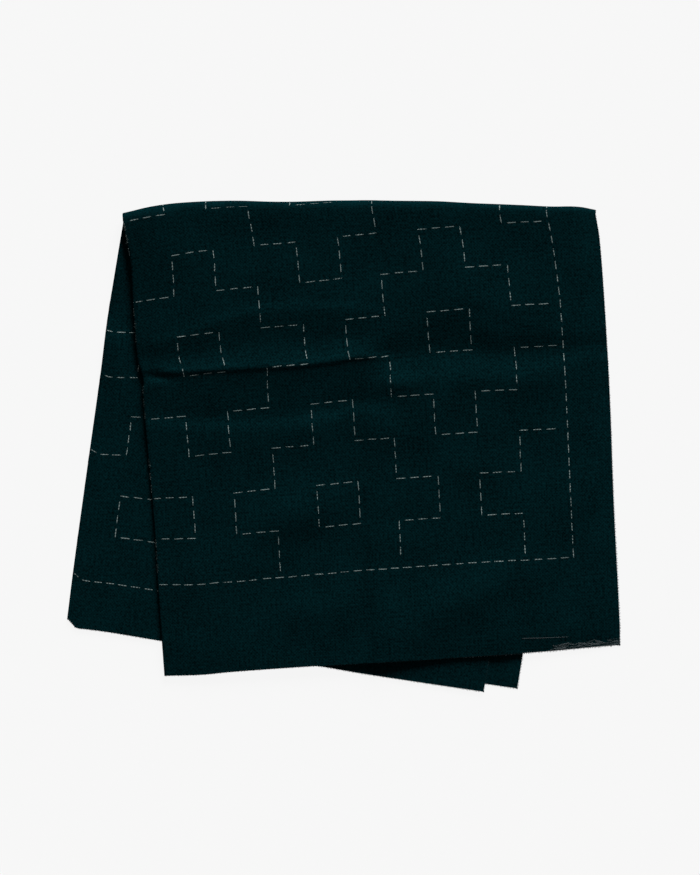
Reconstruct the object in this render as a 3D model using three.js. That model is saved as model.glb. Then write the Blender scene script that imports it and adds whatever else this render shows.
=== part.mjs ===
// A printed cotton sampler cloth folded in four, lying flat. Millimetres, Z up.
// The origin is the middle of the folded outline, on the surface that the cloth lies on.
// One sheet: it is closed like a book on the upright fold at the left, then its upper half
// is folded back behind over the top edge and turned a little.

import * as THREE from 'three';

// The cloth as it is cut
const CLOTH_LENGTH = 336; // lower raw edge to upper raw edge
const RIGHT_WIDTH = 166; // upright fold to the right raw edge, the outer leaf
const LEFT_WIDTH = 154; // upright fold to the left raw edge, the inner leaf
const THICKNESS = 1;
const LAYER_GAP = 0.4;

// The stack of four layers: two leaves in front, two leaves behind
const PITCH = THICKNESS + LAYER_GAP;
const LEAF_OFFSET = PITCH / 2; // from the middle of a pair of leaves to each leaf
const BACK_HEIGHT = THICKNESS / 2 + LEAF_OFFSET; // middle of the pair on the surface
const FRONT_HEIGHT = BACK_HEIGHT + 2 * PITCH; // middle of the pair on top
const SIDE_ALLOWANCE = LEAF_OFFSET + THICKNESS / 2; // middle of the pair to the fold's outside
const FOLD_DEPTH = 1.9; // how much farther out the creased cloth reaches round the top fold
const TOP_ALLOWANCE = SIDE_ALLOWANCE + PITCH + FOLD_DEPTH; // top fold's axis to its outside
const HALF_BEND = (Math.PI / 2) * LEAF_OFFSET; // cloth in half of the upright fold

// Corners of the folded outline seen from above, at the outside of the folds
const CORNERS = {
  topFold: new THREE.Vector2(-79.8, 84.7),
  topOuter: new THREE.Vector2(91.7, 87.4),
  frontOuter: new THREE.Vector2(100.8, -72.4),
  frontFold: new THREE.Vector2(-64.9, -83.5),
  backOuter: new THREE.Vector2(63.5, -88.3),
  backFold: new THREE.Vector2(-100.3, -63.1),
};

// Tables are rows of [place, value]. How far each edge bows outwards, by share of its length
const STRAIGHT = [
  [0, 0],
  [1, 0],
];
const TOP_FOLD_BOW = [
  [0, 0],
  [0.06, 1.8],
  [0.13, 3.25],
  [0.22, 3.8],
  [0.35, 3.2],
  [0.45, 3.4],
  [0.61, 2.75],
  [0.83, 1.15],
  [0.91, 0.5],
  [0.97, 0.5],
  [1, 0],
];
const RIGHT_EDGE_BOW = [
  [0, 0],
  [0.06, 0.5],
  [0.33, 0.8],
  [0.57, 1.5],
  [0.78, 1.5],
  [0.94, 1],
  [1, 0],
];
const LEFT_FOLD_BOW = [
  [0, 0],
  [0.19, -0.6],
  [0.33, -1.3],
  [0.62, -1.4],
  [0.645, -2],
  [0.665, -1.7],
  [0.69, -0.7],
  [0.8, -0.8],
  [0.91, -1.3],
  [1, 0],
];
const LOWER_EDGE_BOW = [
  [0, 0],
  [0.08, 0.5],
  [0.14, 0.2],
  [0.3, 0.1],
  [0.8, 0.7],
  [1, 0],
];
const BACK_FOLD_BOW = [
  [0, 0],
  [0.13, 0.3],
  [0.38, 0.45],
  [0.62, 0.5],
  [0.75, 0.8],
  [0.87, 0.45],
  [1, 0],
];
const BACK_EDGE_BOW = [
  [0, 0],
  [0.07, -0.5],
  [0.13, -0.5],
  [0.2, -0.35],
  [0.57, 0],
  [0.65, 0.25],
  [0.85, 0.2],
  [1, 0],
];

// The inner leaf's raw edges against the outer leaf's, which went the longer way round
const FRONT_INNER_EXTRA = -0.8;
const BACK_INNER_EXTRA = 2.9;
const EXTRA_RAMP = 4; // from the upright fold to the full extra

// The loose corner where both folds meet stands higher, and so does the cloth along the top fold
const CORNER_LIFT = 2;
const CORNER_REACH_ACROSS = 22;
const CORNER_REACH_DOWN = 22;
const FOLD_RISE = 0.7;
const FOLD_REACH = 7;
const FOLD_EASE = 14; // distance below the top fold over which the inner leaf joins the creases

// Where the front pair lies past the pair behind, it sinks to the surface
const SAG_LENGTH = 20;

// The crosswise crease left of the upright crease, a third of the cloth above the lower raw edge.
// line = up by across, profile = height by distance above the line, spreadAbove and spreadBelow =
// how the distances stretch by across, level = share of the height by across,
// crests = distances of the crests below and above
const LEFT_CREASE = {
  line: [
    [0, 110.8],
    [6, 109.4],
    [15, 108.4],
    [26, 107.7],
    [37, 107.3],
    [49, 107.3],
    [60, 107.6],
    [69, 108.1],
    [76, 108.8],
    [90, 108.2],
  ],
  profile: [
    [-60, 0],
    [-46, 0.15],
    [-35, 0.45],
    [-22.2, 1.25],
    [-18.3, 0.35],
    [-12.8, 0.77],
    [-1.6, 2.24],
    [0, 3.05],
    [2.5, 2.3],
    [7, 1.5],
    [10, 1.6],
    [19, 2.75],
    [20.6, 2.7],
    [22, 2.3],
    [30, 2.15],
    [58, 2.1],
  ],
  spreadAbove: [
    [0, 0.52],
    [8, 0.57],
    [17.6, 0.68],
    [29, 0.86],
    [40, 0.97],
    [51, 1.02],
    [62, 0.99],
    [75, 0.88],
    [90, 0.82],
  ],
  spreadBelow: [
    [0, 0.87],
    [14, 0.92],
    [25, 0.97],
    [42, 1.01],
    [59, 0.97],
    [76, 0.9],
    [90, 0.95],
  ],
  level: [
    [0, 0.7],
    [10, 0.78],
    [24, 0.95],
    [36, 1],
    [90, 1],
  ],
  crests: [-22.2, 20.6],
};

// The same crease right of the upright crease, where it is a trough between two swellings
const RIGHT_CREASE = {
  line: [
    [80, 108.5],
    [96, 109.3],
    [109, 109.8],
    [118, 109],
    [127, 107.6],
    [145, 108.3],
    [166, 109.3],
  ],
  profile: [
    [-60, 0],
    [-25, 0.25],
    [-16, 0.85],
    [-8, 1.6],
    [-6.3, 1.5],
    [-2, 0.3],
    [0, 0.1],
    [2, 0.35],
    [8, 1.5],
    [12, 1.75],
    [30, 1.8],
    [60, 1.8],
  ],
  spreadAbove: [
    [80, 0.5],
    [88, 0.7],
    [97, 1.2],
    [106, 1.45],
    [116, 1.2],
    [127, 0.85],
    [166, 0.6],
  ],
  spreadBelow: [
    [80, 1.3],
    [96, 1.4],
    [109, 1.5],
    [127, 1.3],
    [145, 1],
    [166, 0.75],
  ],
  level: [
    [80, 1.1],
    [97, 1.2],
    [109, 1.3],
    [118, 1.05],
    [127, 0.85],
    [145, 0.7],
    [166, 0.5],
  ],
  crests: [-14, 14],
};
const PARTING = 84; // across, where the left crease gives way to the right one
const PARTING_FADE = 18;

// Low mounds in the top leaf: across and up = middle, long and short = reach, turn = degrees
// between the long way and the lower edge, rise = height, below 0 for a dent
const MOUNDS = [
  { across: 52, up: 54.5, long: 17, short: 7.5, turn: 21, rise: 1.9 },
  { across: 108, up: 20.5, long: 25, short: 8.5, turn: 28, rise: 2.1 },
  { across: 86, up: 81.5, long: 7, short: 6, turn: 0, rise: 0.9 },
  { across: 100, up: 80, long: 13, short: 4.5, turn: 72, rise: 0.9 },
  { across: 91, up: 98.5, long: 7, short: 3, turn: 0, rise: 0.8 },
  { across: 133, up: 98, long: 15, short: 5, turn: 0, rise: 0.5 },
  { across: 14, up: 35, long: 16, short: 8, turn: 0, rise: 0.7 },
  { across: 62, up: 20, long: 15, short: 7.5, turn: 0, rise: 0.9 },
  { across: 115, up: 67, long: 14, short: 7, turn: 0, rise: 0.6 },
  { across: 134, up: 50, long: 26, short: 9, turn: 8, rise: 0.6 },
  { across: 124, up: 127, long: 22, short: 7, turn: -20, rise: 0.8 },
  { across: 108, up: 143, long: 12, short: 7, turn: -30, rise: 0.5 },
  { across: 12, up: 150, long: 14, short: 7, turn: 0, rise: 0.4 },
  { across: 36, up: 139, long: 16, short: 6, turn: 12, rise: 0.3 },
  { across: 5, up: 125, long: 9, short: 5, turn: 10, rise: 0.6 },
  { across: 4, up: 108.8, long: 6, short: 1.7, turn: -20, rise: -1.5 },
  { across: 3, up: 105, long: 5, short: 2, turn: 20, rise: 0.8 },
];

// The upright crease in the top leaf, a quarter of the cloth from the upright fold: a swelling
// that is steep on its left. Its place and its height by up
const UPRIGHT_LINE = [
  [0, 78.5],
  [35, 77.8],
  [57, 78.3],
  [79, 79.2],
  [109, 81],
  [155, 84.5],
];
const UPRIGHT_RISE = [
  [0, 1],
  [35, 0.9],
  [55, 0.5],
  [80, 0.35],
  [110, 0.25],
  [155, 0.1],
];
const UPRIGHT_STEEP = 3.4;
const UPRIGHT_GENTLE = 9;

// The top leaf lies closer at the upright fold, where this share of its height is lost
const FOLD_HUG = 0.5;
const HUG_REACH = 7;

// The top leaf stands off the one below and comes down at the right edge, and at the lower edge by
// the share in the table, across
const LOFT = 0.8;
const LOFT_REACH = 4.5;
const LOWER_DROOP = [
  [0, 0],
  [86, 0.1],
  [104, 0.8],
  [166, 1],
];

// The strip of the back pair that shows: height by up from its raw edge. Its width is a share of
// the distance below the top fold
const STRIP_PROFILE = [
  [60, 0],
  [84, 0.3],
  [97, 1],
  [102.5, 1.5],
  [104.5, 1.4],
  [111, 0],
  [114, 0.2],
  [124, 1.2],
  [134, 2],
  [149, 2.2],
];
const STRIP_SPREAD = 0.28;

// How finely the sheet is divided. Rows of the front pair are shares of the cloth from the lower
// edge to the crest below the crease, to the crease, to the crest above and to the top fold
const FIRST_COLUMN = 4.5;
const COLUMN_STEP = 8.2;
const LEAST_STEP = 1.3;
const SIDE_BEND_STEPS = 4;
const TOP_BEND_STEPS = 6;
const UPRIGHT_COLUMNS = [-6, -3, -1, 1, 4.5, 9]; // distances from the upright crease
const EDGE_COLUMN = 3; // from the right edge
const FRONT_ROWS = [
  [0, 0.03, 0.06, 0.11, 0.2, 0.3, 0.4, 0.5, 0.6, 0.7, 0.8, 0.9],
  [0, 0.09, 0.18, 0.3, 0.43, 0.6, 0.77, 0.93],
  [0, 0.12, 0.23, 0.34, 0.49, 0.7, 0.92],
  [0, 0.04, 0.12, 0.25, 0.42, 0.58, 0.74, 0.87, 1],
];
const BACK_ROWS = [0.06, 0.12, 0.17, 0.21, 0.254, 0.28, 0.308, 0.35, 0.42, 0.5, 0.62, 0.74, 0.87, 1];

const clamp01 = (value) => Math.min(1, Math.max(0, value));

function smooth(value) {
  const t = clamp01(value);
  return t * t * (3 - 2 * t);
}

// Falls from 1 to near 0 over the reach, on both sides of the middle
const bell = (distance, reach) => Math.exp(-((distance / reach) ** 2));

// Reads a table with a smooth curve through its rows
function readCurve(rows, at) {
  const last = rows.length - 1;
  const t = Math.min(Math.max(at, rows[0][0]), rows[last][0]);
  let i = 0;
  while (i < last - 1 && t > rows[i + 1][0]) i += 1;
  const slope = (a, b) => (rows[b][1] - rows[a][1]) / (rows[b][0] - rows[a][0]);
  const before = slope(Math.max(i - 1, 0), i + 1);
  const after = slope(i, Math.min(i + 2, last));
  const span = rows[i + 1][0] - rows[i][0];
  const s = (t - rows[i][0]) / span;
  const start = rows[i][1] * (1 + 2 * s) * (1 - s) ** 2 + before * span * s * (1 - s) ** 2;
  const end = rows[i + 1][1] * s * s * (3 - 2 * s) + after * span * s * s * (s - 1);
  return start + end;
}

// A point along an edge between two corners, bowed outwards. outward is +1 where the outside
// lies to the left of the way from start to end, -1 where it lies to the right.
function edgePoint(start, end, rows, outward, at) {
  const way = end.clone().sub(start);
  const normal = new THREE.Vector2(-way.y, way.x).normalize();
  const out = readCurve(rows, at) * outward;
  return start.clone().addScaledVector(way, at).addScaledVector(normal, out);
}

// The same corners at the middle of each fold
const side = new THREE.Vector2(SIDE_ALLOWANCE, 0);
const drop = new THREE.Vector2(0, -TOP_ALLOWANCE);
const MIDDLES = {
  topFold: CORNERS.topFold.clone().add(side).add(drop),
  topOuter: CORNERS.topOuter.clone().add(drop),
  frontOuter: CORNERS.frontOuter,
  frontFold: CORNERS.frontFold.clone().add(side),
  backOuter: CORNERS.backOuter,
  backFold: CORNERS.backFold.clone().add(side),
};

const NEARBY = 0.01; // share of an edge over which its direction is taken

const topLine = (at) => edgePoint(MIDDLES.topFold, MIDDLES.topOuter, TOP_FOLD_BOW, 1, at);

const PAIRS = {
  front: {
    fold: (at) => edgePoint(MIDDLES.frontFold, MIDDLES.topFold, LEFT_FOLD_BOW, 1, at),
    outer: (at) => edgePoint(MIDDLES.frontOuter, MIDDLES.topOuter, RIGHT_EDGE_BOW, -1, at),
    raw: (at) => edgePoint(MIDDLES.frontFold, MIDDLES.frontOuter, LOWER_EDGE_BOW, -1, at),
  },
  back: {
    fold: (at) => edgePoint(MIDDLES.backFold, MIDDLES.topFold, BACK_FOLD_BOW, 1, at),
    outer: (at) => edgePoint(MIDDLES.backOuter, MIDDLES.topOuter, STRAIGHT, -1, at),
    raw: (at) => edgePoint(MIDDLES.backFold, MIDDLES.backOuter, BACK_EDGE_BOW, -1, at),
  },
};

const FRONT_LENGTH = {
  fold: MIDDLES.topFold.distanceTo(MIDDLES.frontFold),
  outer: MIDDLES.topOuter.distanceTo(MIDDLES.frontOuter),
};
const BACK_LENGTH = {
  fold: MIDDLES.topFold.distanceTo(MIDDLES.backFold),
  outer: MIDDLES.topOuter.distanceTo(MIDDLES.backOuter),
};

// Share of the way from the upright fold's middle line to the outer leaf's raw edge
const shareOf = (aside) => aside / (RIGHT_WIDTH - HALF_BEND);

// Cloth from a raw edge to the top fold, which runs askew to the weave
const lengthAt = ({ fold, outer }, aside) => THREE.MathUtils.lerp(fold, outer, shareOf(aside));

// A place in a pair of leaves seen from above: a patch spanned by its four edges.
// x = share from the upright fold to the outer raw edge, y = share from the raw edge to the top
function place(pair, x, y) {
  const corners = [pair.raw(0), pair.raw(1), topLine(0), topLine(1)];
  const point = new THREE.Vector2();
  point.addScaledVector(pair.raw(x), 1 - y).addScaledVector(topLine(x), y);
  point.addScaledVector(pair.fold(y), 1 - x).addScaledVector(pair.outer(y), x);
  point.addScaledVector(corners[0], -(1 - x) * (1 - y)).addScaledVector(corners[1], -x * (1 - y));
  return point.addScaledVector(corners[2], -(1 - x) * y).addScaledVector(corners[3], -x * y);
}

// How far a point lies past the line from one point to another, on its right side
function past(point, from, to) {
  const way = to.clone().sub(from).normalize();
  return (point.x - from.x) * way.y - (point.y - from.y) * way.x;
}

const backWay = MIDDLES.backOuter.clone().sub(MIDDLES.backFold).normalize();
const innerBackOuter = MIDDLES.backOuter.clone().addScaledVector(backWay, LEFT_WIDTH - RIGHT_WIDTH);
const innerTopOuter = topLine(LEFT_WIDTH / RIGHT_WIDTH);

// Height lost where one or both leaves behind end under the front pair
function sag(point) {
  const raw = past(point, MIDDLES.backFold, MIDDLES.backOuter);
  const outer = past(point, MIDDLES.backOuter, MIDDLES.topOuter);
  const inner = past(point, innerBackOuter, innerTopOuter);
  const kept = (a, b) => (1 - smooth(a / SAG_LENGTH)) * (1 - smooth(b / SAG_LENGTH));
  return PITCH * (2 - kept(outer, raw) - kept(inner, raw - BACK_INNER_EXTRA));
}

// How much the front pair stands up towards the top fold
function foldRise(aside, fromTop) {
  const across = bell(Math.max(aside, 0), CORNER_REACH_ACROSS);
  return CORNER_LIFT * across * bell(fromTop, CORNER_REACH_DOWN) + FOLD_RISE * bell(fromTop, FOLD_REACH);
}

// Share of the right crease's shape at a place, the rest being the left crease's
const partingAt = (across) => smooth(0.5 + (across - PARTING) / PARTING_FADE);

function creaseHeight(crease, across, up) {
  const away = up - readCurve(crease.line, across);
  const spread = readCurve(away > 0 ? crease.spreadAbove : crease.spreadBelow, across);
  return readCurve(crease.profile, away / spread) * readCurve(crease.level, across);
}

// Creases, mounds and the drooping edges of the top leaf, all upwards from the flat leaf
function relief(across, up) {
  const right = partingAt(across);
  let height = creaseHeight(LEFT_CREASE, across, up) * (1 - right);
  height += creaseHeight(RIGHT_CREASE, across, up) * right;
  for (const mound of MOUNDS) {
    const turn = THREE.MathUtils.degToRad(mound.turn);
    const away = new THREE.Vector2(across - mound.across, up - mound.up);
    away.rotateAround(new THREE.Vector2(), -turn);
    height += mound.rise * bell(away.x, mound.long) * bell(away.y, mound.short);
  }
  const aside = across - readCurve(UPRIGHT_LINE, up);
  height += readCurve(UPRIGHT_RISE, up) * bell(aside, aside < 0 ? UPRIGHT_STEEP : UPRIGHT_GENTLE);
  const low = clamp01(readCurve(LOWER_DROOP, across)) * bell(up, LOFT_REACH);
  height += LOFT * (1 - low) * (1 - bell(RIGHT_WIDTH - across, LOFT_REACH));
  return height * (1 - FOLD_HUG * bell(across, HUG_REACH));
}

// Where a column of the sheet stands in its pair. across = cloth from the upright fold, positive
// in the outer leaf. aside = distance from the fold's middle line, offset = distance from the
// middle of the pair towards the outer leaf.
function leafPlace(across) {
  const reach = Math.abs(across);
  if (reach >= HALF_BEND) {
    return { aside: reach - HALF_BEND, offset: Math.sign(across) * LEAF_OFFSET };
  }
  const angle = across / LEAF_OFFSET;
  return { aside: -LEAF_OFFSET * Math.cos(angle), offset: LEAF_OFFSET * Math.sin(angle) };
}

const leafExtra = (across, extra) => extra * smooth(-across / EXTRA_RAMP);

// Middle surface of the front pair's sheet, up = cloth above the lower raw edge
function frontPoint(across, up) {
  const { aside, offset } = leafPlace(across);
  const length = lengthAt(FRONT_LENGTH, aside);
  const extra = leafExtra(across, FRONT_INNER_EXTRA) * (1 - up / length);
  const point = place(PAIRS.front, shareOf(aside), (up - extra) / length);
  const flat = FRONT_HEIGHT + offset + foldRise(aside, length - up);
  const topLeaf = Math.max(0, offset / LEAF_OFFSET);
  const creased = topLeaf + (1 - topLeaf) * (1 - smooth((length - up) / FOLD_EASE));
  const overInner = smooth((aside - LEFT_WIDTH) / (RIGHT_WIDTH - LEFT_WIDTH)) * PITCH;
  const loose = Math.min(sag(point) + overInner, flat - THICKNESS / 2);
  return new THREE.Vector3(point.x, point.y, flat - loose + creased * relief(aside, up));
}

// Middle surface of the back pair's sheet, down = share from the top fold to the raw edge
function backPoint(across, down) {
  const { aside, offset } = leafPlace(across);
  const length = lengthAt(BACK_LENGTH, aside);
  const extra = (leafExtra(across, BACK_INNER_EXTRA) * down) / length;
  const point = place(PAIRS.back, shareOf(aside), 1 - down - extra);
  const upperLeaf = Math.max(0, -offset / LEAF_OFFSET);
  const strip = STRIP_SPREAD * BACK_LENGTH.fold * down;
  const shown = upperLeaf * (1 - smooth(aside / strip)) * smooth((down * length) / FOLD_EASE);
  const crease = shown * readCurve(STRIP_PROFILE, (1 - down) * length);
  return new THREE.Vector3(point.x, point.y, BACK_HEIGHT - offset + crease);
}

// Middle surface round the top fold, turn = 0 in front to PI behind
function topPoint(across, turn) {
  const { aside, offset } = leafPlace(across);
  const x = shareOf(aside);
  const front = frontPoint(across, lengthAt(FRONT_LENGTH, aside));
  const height = front.z - offset;
  const radius = (height - BACK_HEIGHT) / 2;
  const ahead = topLine(x + NEARBY).sub(topLine(x - NEARBY));
  const out = new THREE.Vector2(-ahead.y, ahead.x).normalize();
  const reach = (radius + offset) * Math.sin(turn);
  const rise = (radius + offset) * Math.cos(turn);
  const z = (height + BACK_HEIGHT) / 2 + rise;
  return new THREE.Vector3(front.x + out.x * reach, front.y + out.y * reach, z);
}

function evenSteps(from, to, step) {
  const count = Math.ceil((to - from) / step);
  return Array.from({ length: count + 1 }, (_, i) => from + ((to - from) * i) / count);
}

// Sorts the places where the sheet is divided and drops those too near the one before
function thinned(values) {
  const kept = [];
  for (const value of [...values].sort((a, b) => a - b)) {
    if (kept.length === 0 || value - kept[kept.length - 1] >= LEAST_STEP) kept.push(value);
  }
  return kept;
}

// Columns: cloth across from the left raw edge, through the upright fold, to the right raw edge.
// Both leaves share their even columns, so that they lie evenly apart.
function columns() {
  const even = evenSteps(FIRST_COLUMN, LEFT_WIDTH, COLUMN_STEP);
  const inner = even.map((value) => -value).reverse();
  const bend = evenSteps(-HALF_BEND, HALF_BEND, (2 * HALF_BEND) / SIDE_BEND_STEPS);
  const upright = UPRIGHT_COLUMNS.map((distance) => UPRIGHT_LINE[1][1] + HALF_BEND + distance);
  const near = (value) => upright.some((at) => Math.abs(at - value) < 2 * LEAST_STEP);
  const beyond = [(LEFT_WIDTH + RIGHT_WIDTH) / 2, RIGHT_WIDTH - EDGE_COLUMN, RIGHT_WIDTH];
  const outer = thinned([...even.filter((value) => !near(value)), ...upright, ...beyond]);
  return [...inner, ...bend, ...outer];
}

// Rows of the front pair in a column, which follow the crosswise crease and its two crests
function frontRows(aside) {
  const right = partingAt(aside);
  const crests = [LEFT_CREASE, RIGHT_CREASE].map((crease) => {
    const line = readCurve(crease.line, aside);
    const below = crease.crests[0] * readCurve(crease.spreadBelow, aside);
    const above = crease.crests[1] * readCurve(crease.spreadAbove, aside);
    return [line + below, line, line + above];
  });
  const middles = crests[0].map((value, i) => THREE.MathUtils.lerp(value, crests[1][i], right));
  const marks = [0, ...middles, lengthAt(FRONT_LENGTH, aside)];
  return FRONT_ROWS.flatMap((shares, i) => {
    return shares.map((share) => THREE.MathUtils.lerp(marks[i], marks[i + 1], share));
  });
}

// Every point of a column, from the lower raw edge over the top fold to the upper raw edge
function columnPoints(across) {
  const points = frontRows(leafPlace(across).aside).map((up) => frontPoint(across, up));
  for (let i = 1; i <= TOP_BEND_STEPS; i += 1) {
    points.push(topPoint(across, (Math.PI * i) / TOP_BEND_STEPS));
  }
  return [...points, ...BACK_ROWS.map((down) => backPoint(across, down))];
}

// A closed sheet of even thickness on both sides of a grid of points
function sheetGeometry(grid, thickness) {
  const wide = grid.length;
  const high = grid[0].length;
  const positions = [];
  const at = (i, j) => grid[Math.min(Math.max(i, 0), wide - 1)][Math.min(Math.max(j, 0), high - 1)];
  for (const half of [thickness / 2, -thickness / 2]) {
    for (let i = 0; i < wide; i += 1) {
      for (let j = 0; j < high; j += 1) {
        const sideways = at(i + 1, j).clone().sub(at(i - 1, j));
        const upwards = at(i, j + 1).clone().sub(at(i, j - 1));
        const normal = sideways.cross(upwards).normalize();
        positions.push(...at(i, j).clone().addScaledVector(normal, half).toArray());
      }
    }
  }
  const under = wide * high;
  const index = [];
  const quad = (a, b, c, d) => index.push(a, b, c, a, c, d);
  for (let i = 0; i < wide - 1; i += 1) {
    for (let j = 0; j < high - 1; j += 1) {
      const a = i * high + j;
      quad(a, a + high, a + high + 1, a + 1);
      quad(under + a, under + a + 1, under + a + high + 1, under + a + high);
    }
  }
  for (let j = 0; j < high - 1; j += 1) {
    const right = (wide - 1) * high + j;
    quad(j, j + 1, under + j + 1, under + j);
    quad(right, under + right, under + right + 1, right + 1);
  }
  for (let i = 0; i < wide - 1; i += 1) {
    const low = i * high;
    const top = low + high - 1;
    quad(low, under + low, under + low + high, low + high);
    quad(top, top + high, under + top + high, under + top);
  }
  const geometry = new THREE.BufferGeometry();
  geometry.setAttribute('position', new THREE.Float32BufferAttribute(positions, 3));
  geometry.setIndex(index);
  return geometry;
}

// Puts the middle of the outline over the origin
function centred(geometry) {
  geometry.computeBoundingBox();
  const middle = geometry.boundingBox.getCenter(new THREE.Vector3());
  return geometry.translate(-middle.x, -middle.y, -geometry.boundingBox.min.z);
}

const sheet = centred(sheetGeometry(columns().map(columnPoints), THICKNESS));
sheet.computeVertexNormals();

const indigoCotton = new THREE.MeshStandardMaterial({ color: '#031519', roughness: 0.95, metalness: 0 });
const cloth = new THREE.Mesh(sheet, indigoCotton);
cloth.name = 'sampler_cloth';

const sampler = new THREE.Group();
sampler.add(cloth);

export default sampler;
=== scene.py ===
"""The looks of a folded sashiko sampler: its cloth, its printed guide and its frayed edges.

Lengths are in millimetres until a mesh is made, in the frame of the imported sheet. A place on the
cloth is given as across, from the upright fold and positive in the outer leaf, and up, from the
lower raw edge.
"""

import logging
import math
from dataclasses import dataclass, field
from enum import Enum

import bpy
import numpy as np
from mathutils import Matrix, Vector


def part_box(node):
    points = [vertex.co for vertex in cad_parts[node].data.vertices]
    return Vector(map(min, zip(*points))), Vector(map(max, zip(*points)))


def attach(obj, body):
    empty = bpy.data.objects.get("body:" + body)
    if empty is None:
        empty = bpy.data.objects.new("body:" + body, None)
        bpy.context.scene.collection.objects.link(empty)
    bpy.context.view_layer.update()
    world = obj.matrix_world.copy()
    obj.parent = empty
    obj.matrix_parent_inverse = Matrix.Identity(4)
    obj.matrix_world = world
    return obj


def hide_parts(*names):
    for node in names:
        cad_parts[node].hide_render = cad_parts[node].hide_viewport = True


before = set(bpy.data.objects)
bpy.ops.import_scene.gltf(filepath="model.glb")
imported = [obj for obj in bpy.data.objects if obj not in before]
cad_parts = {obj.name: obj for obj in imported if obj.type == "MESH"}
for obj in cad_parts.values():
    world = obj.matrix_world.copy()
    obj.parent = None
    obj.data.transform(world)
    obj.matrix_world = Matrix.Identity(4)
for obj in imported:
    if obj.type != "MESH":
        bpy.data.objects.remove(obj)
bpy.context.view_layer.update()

Array = np.ndarray
Rows = tuple[tuple[float, ...], ...]

LOG = logging.getLogger("sampler")
METRES = 0.001  # one millimetre
CAD_NODE = "sampler_cloth"
CLOTH_MAP = "ClothPlace"  # across and up on the cloth, in mm
PALE_SHARE = "pale_share"  # how far a yarn shows its undyed core


class Tint(Enum):
    """Colours of the cloth and the ink, as sRGB hex values."""

    # The hollow colour's darkness is partly painted shade in the weave's hollows and partly the dye's
    # darker random tone; the crown colour's lightness is partly a painted highlight on the lit crowns and
    # partly the dye itself.
    INDIGO_DARK_TONE_AND_SHADE = "#010E10"
    INDIGO_DYE_AND_LIT_CROWN = "#05272B"
    INDIGO_FUZZ = "#0D515E"
    UNDYED_CORE = "#8E979A"
    GUIDE_INK = "#97A8A6"


class Side(Enum):
    """The two faces of the cloth, as signs along the sheet's normal."""

    PRINTED = 1.0
    PLAIN = -1.0


def linear(tint: Tint) -> tuple[float, float, float, float]:
    """Turns an sRGB hex value to a linear colour.

    Args:
        tint: the colour.

    Returns:
        Red, green, blue and alpha, linear.
    """
    parts = [int(tint.value[i : i + 2], 16) / 255 for i in (1, 3, 5)]
    red, green, blue = (
        part / 12.92 if part <= 0.04045 else ((part + 0.055) / 1.055) ** 2.4 for part in parts
    )
    return red, green, blue, 1.0


def smooth(value: Array) -> Array:
    """Eases from 0 to 1 as the value goes from 0 to 1."""
    t = np.clip(value, 0.0, 1.0)
    return t * t * (3.0 - 2.0 * t)


def bell(distance: Array, reach: Array | float) -> Array:
    """Falls from 1 to near 0 over the reach, on both sides of the middle."""
    return np.exp(-((distance / reach) ** 2))


def even_steps(start: float, end: float, step: float) -> Array:
    """Evenly spaced values from start to end, about a step apart."""
    return np.linspace(start, end, math.ceil((end - start) / step) + 1)


def read_table(rows: Rows, at: Array) -> Array:
    """Reads a table of (place, value) rows, straight from row to row."""
    places, values = np.array(rows, float).T
    return np.interp(at, places, values)


def read_curve(rows: Rows, at: Array) -> Array:
    """Reads a table of (place, value) rows, with a smooth curve through its rows.

    Args:
        rows: the table, its places rising.
        at: places, held within the table's ends.

    Returns:
        The values.
    """
    places, values = np.array(rows, float).T
    t = np.clip(at, places[0], places[-1])
    i = np.clip(np.searchsorted(places, t) - 1, 0, len(places) - 2)

    def slope(first: Array, last: Array) -> Array:
        """Rise between two rows over the run between them."""
        return (values[last] - values[first]) / (places[last] - places[first])

    before = slope(np.maximum(i - 1, 0), i + 1)
    after = slope(i, np.minimum(i + 2, len(places) - 1))
    span = places[i + 1] - places[i]
    s = (t - places[i]) / span
    start = values[i] * (1 + 2 * s) * (1 - s) ** 2 + before * span * s * (1 - s) ** 2
    end = values[i + 1] * s * s * (3 - 2 * s) + after * span * s * s * (s - 1)
    return start + end


@dataclass(frozen=True)
class ClothCut:
    """The cloth as it is cut.

    Attributes:
        length: lower raw edge to upper raw edge.
        outer_leaf: upright fold to the right raw edge.
        inner_leaf: upright fold to the left raw edge.
    """

    length: float = 336.0
    outer_leaf: float = 166.0
    inner_leaf: float = 154.0


@dataclass(frozen=True)
class LayerStack:
    """Heights of the four layers, two leaves in front and two behind.

    Attributes:
        sheet: thickness of the weave.
        gap: air between two layers.
    """

    sheet: float = 0.42
    gap: float = 0.12

    @property
    def pitch(self) -> float:
        """From one layer to the next."""
        return self.sheet + self.gap

    @property
    def leaf_offset(self) -> float:
        """From the middle of a pair of leaves to each leaf."""
        return self.pitch / 2

    @property
    def back_height(self) -> float:
        """Middle of the pair that lies on the surface."""
        return self.sheet / 2 + self.leaf_offset

    @property
    def front_height(self) -> float:
        """Middle of the pair on top."""
        return self.back_height + 2 * self.pitch

    @property
    def side_allowance(self) -> float:
        """Middle of a pair to the outside of the upright fold."""
        return self.leaf_offset + self.sheet / 2

    @property
    def top_allowance(self) -> float:
        """Axis of the top fold to its outside."""
        return self.side_allowance + self.pitch

    @property
    def half_bend(self) -> float:
        """Cloth in half of the upright fold."""
        return math.pi / 2 * self.leaf_offset

    def share(self, aside: Array, leaf: float) -> Array:
        """Share of the way from the upright fold's middle line to a leaf's side edge."""
        return aside / (leaf - self.half_bend)


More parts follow.
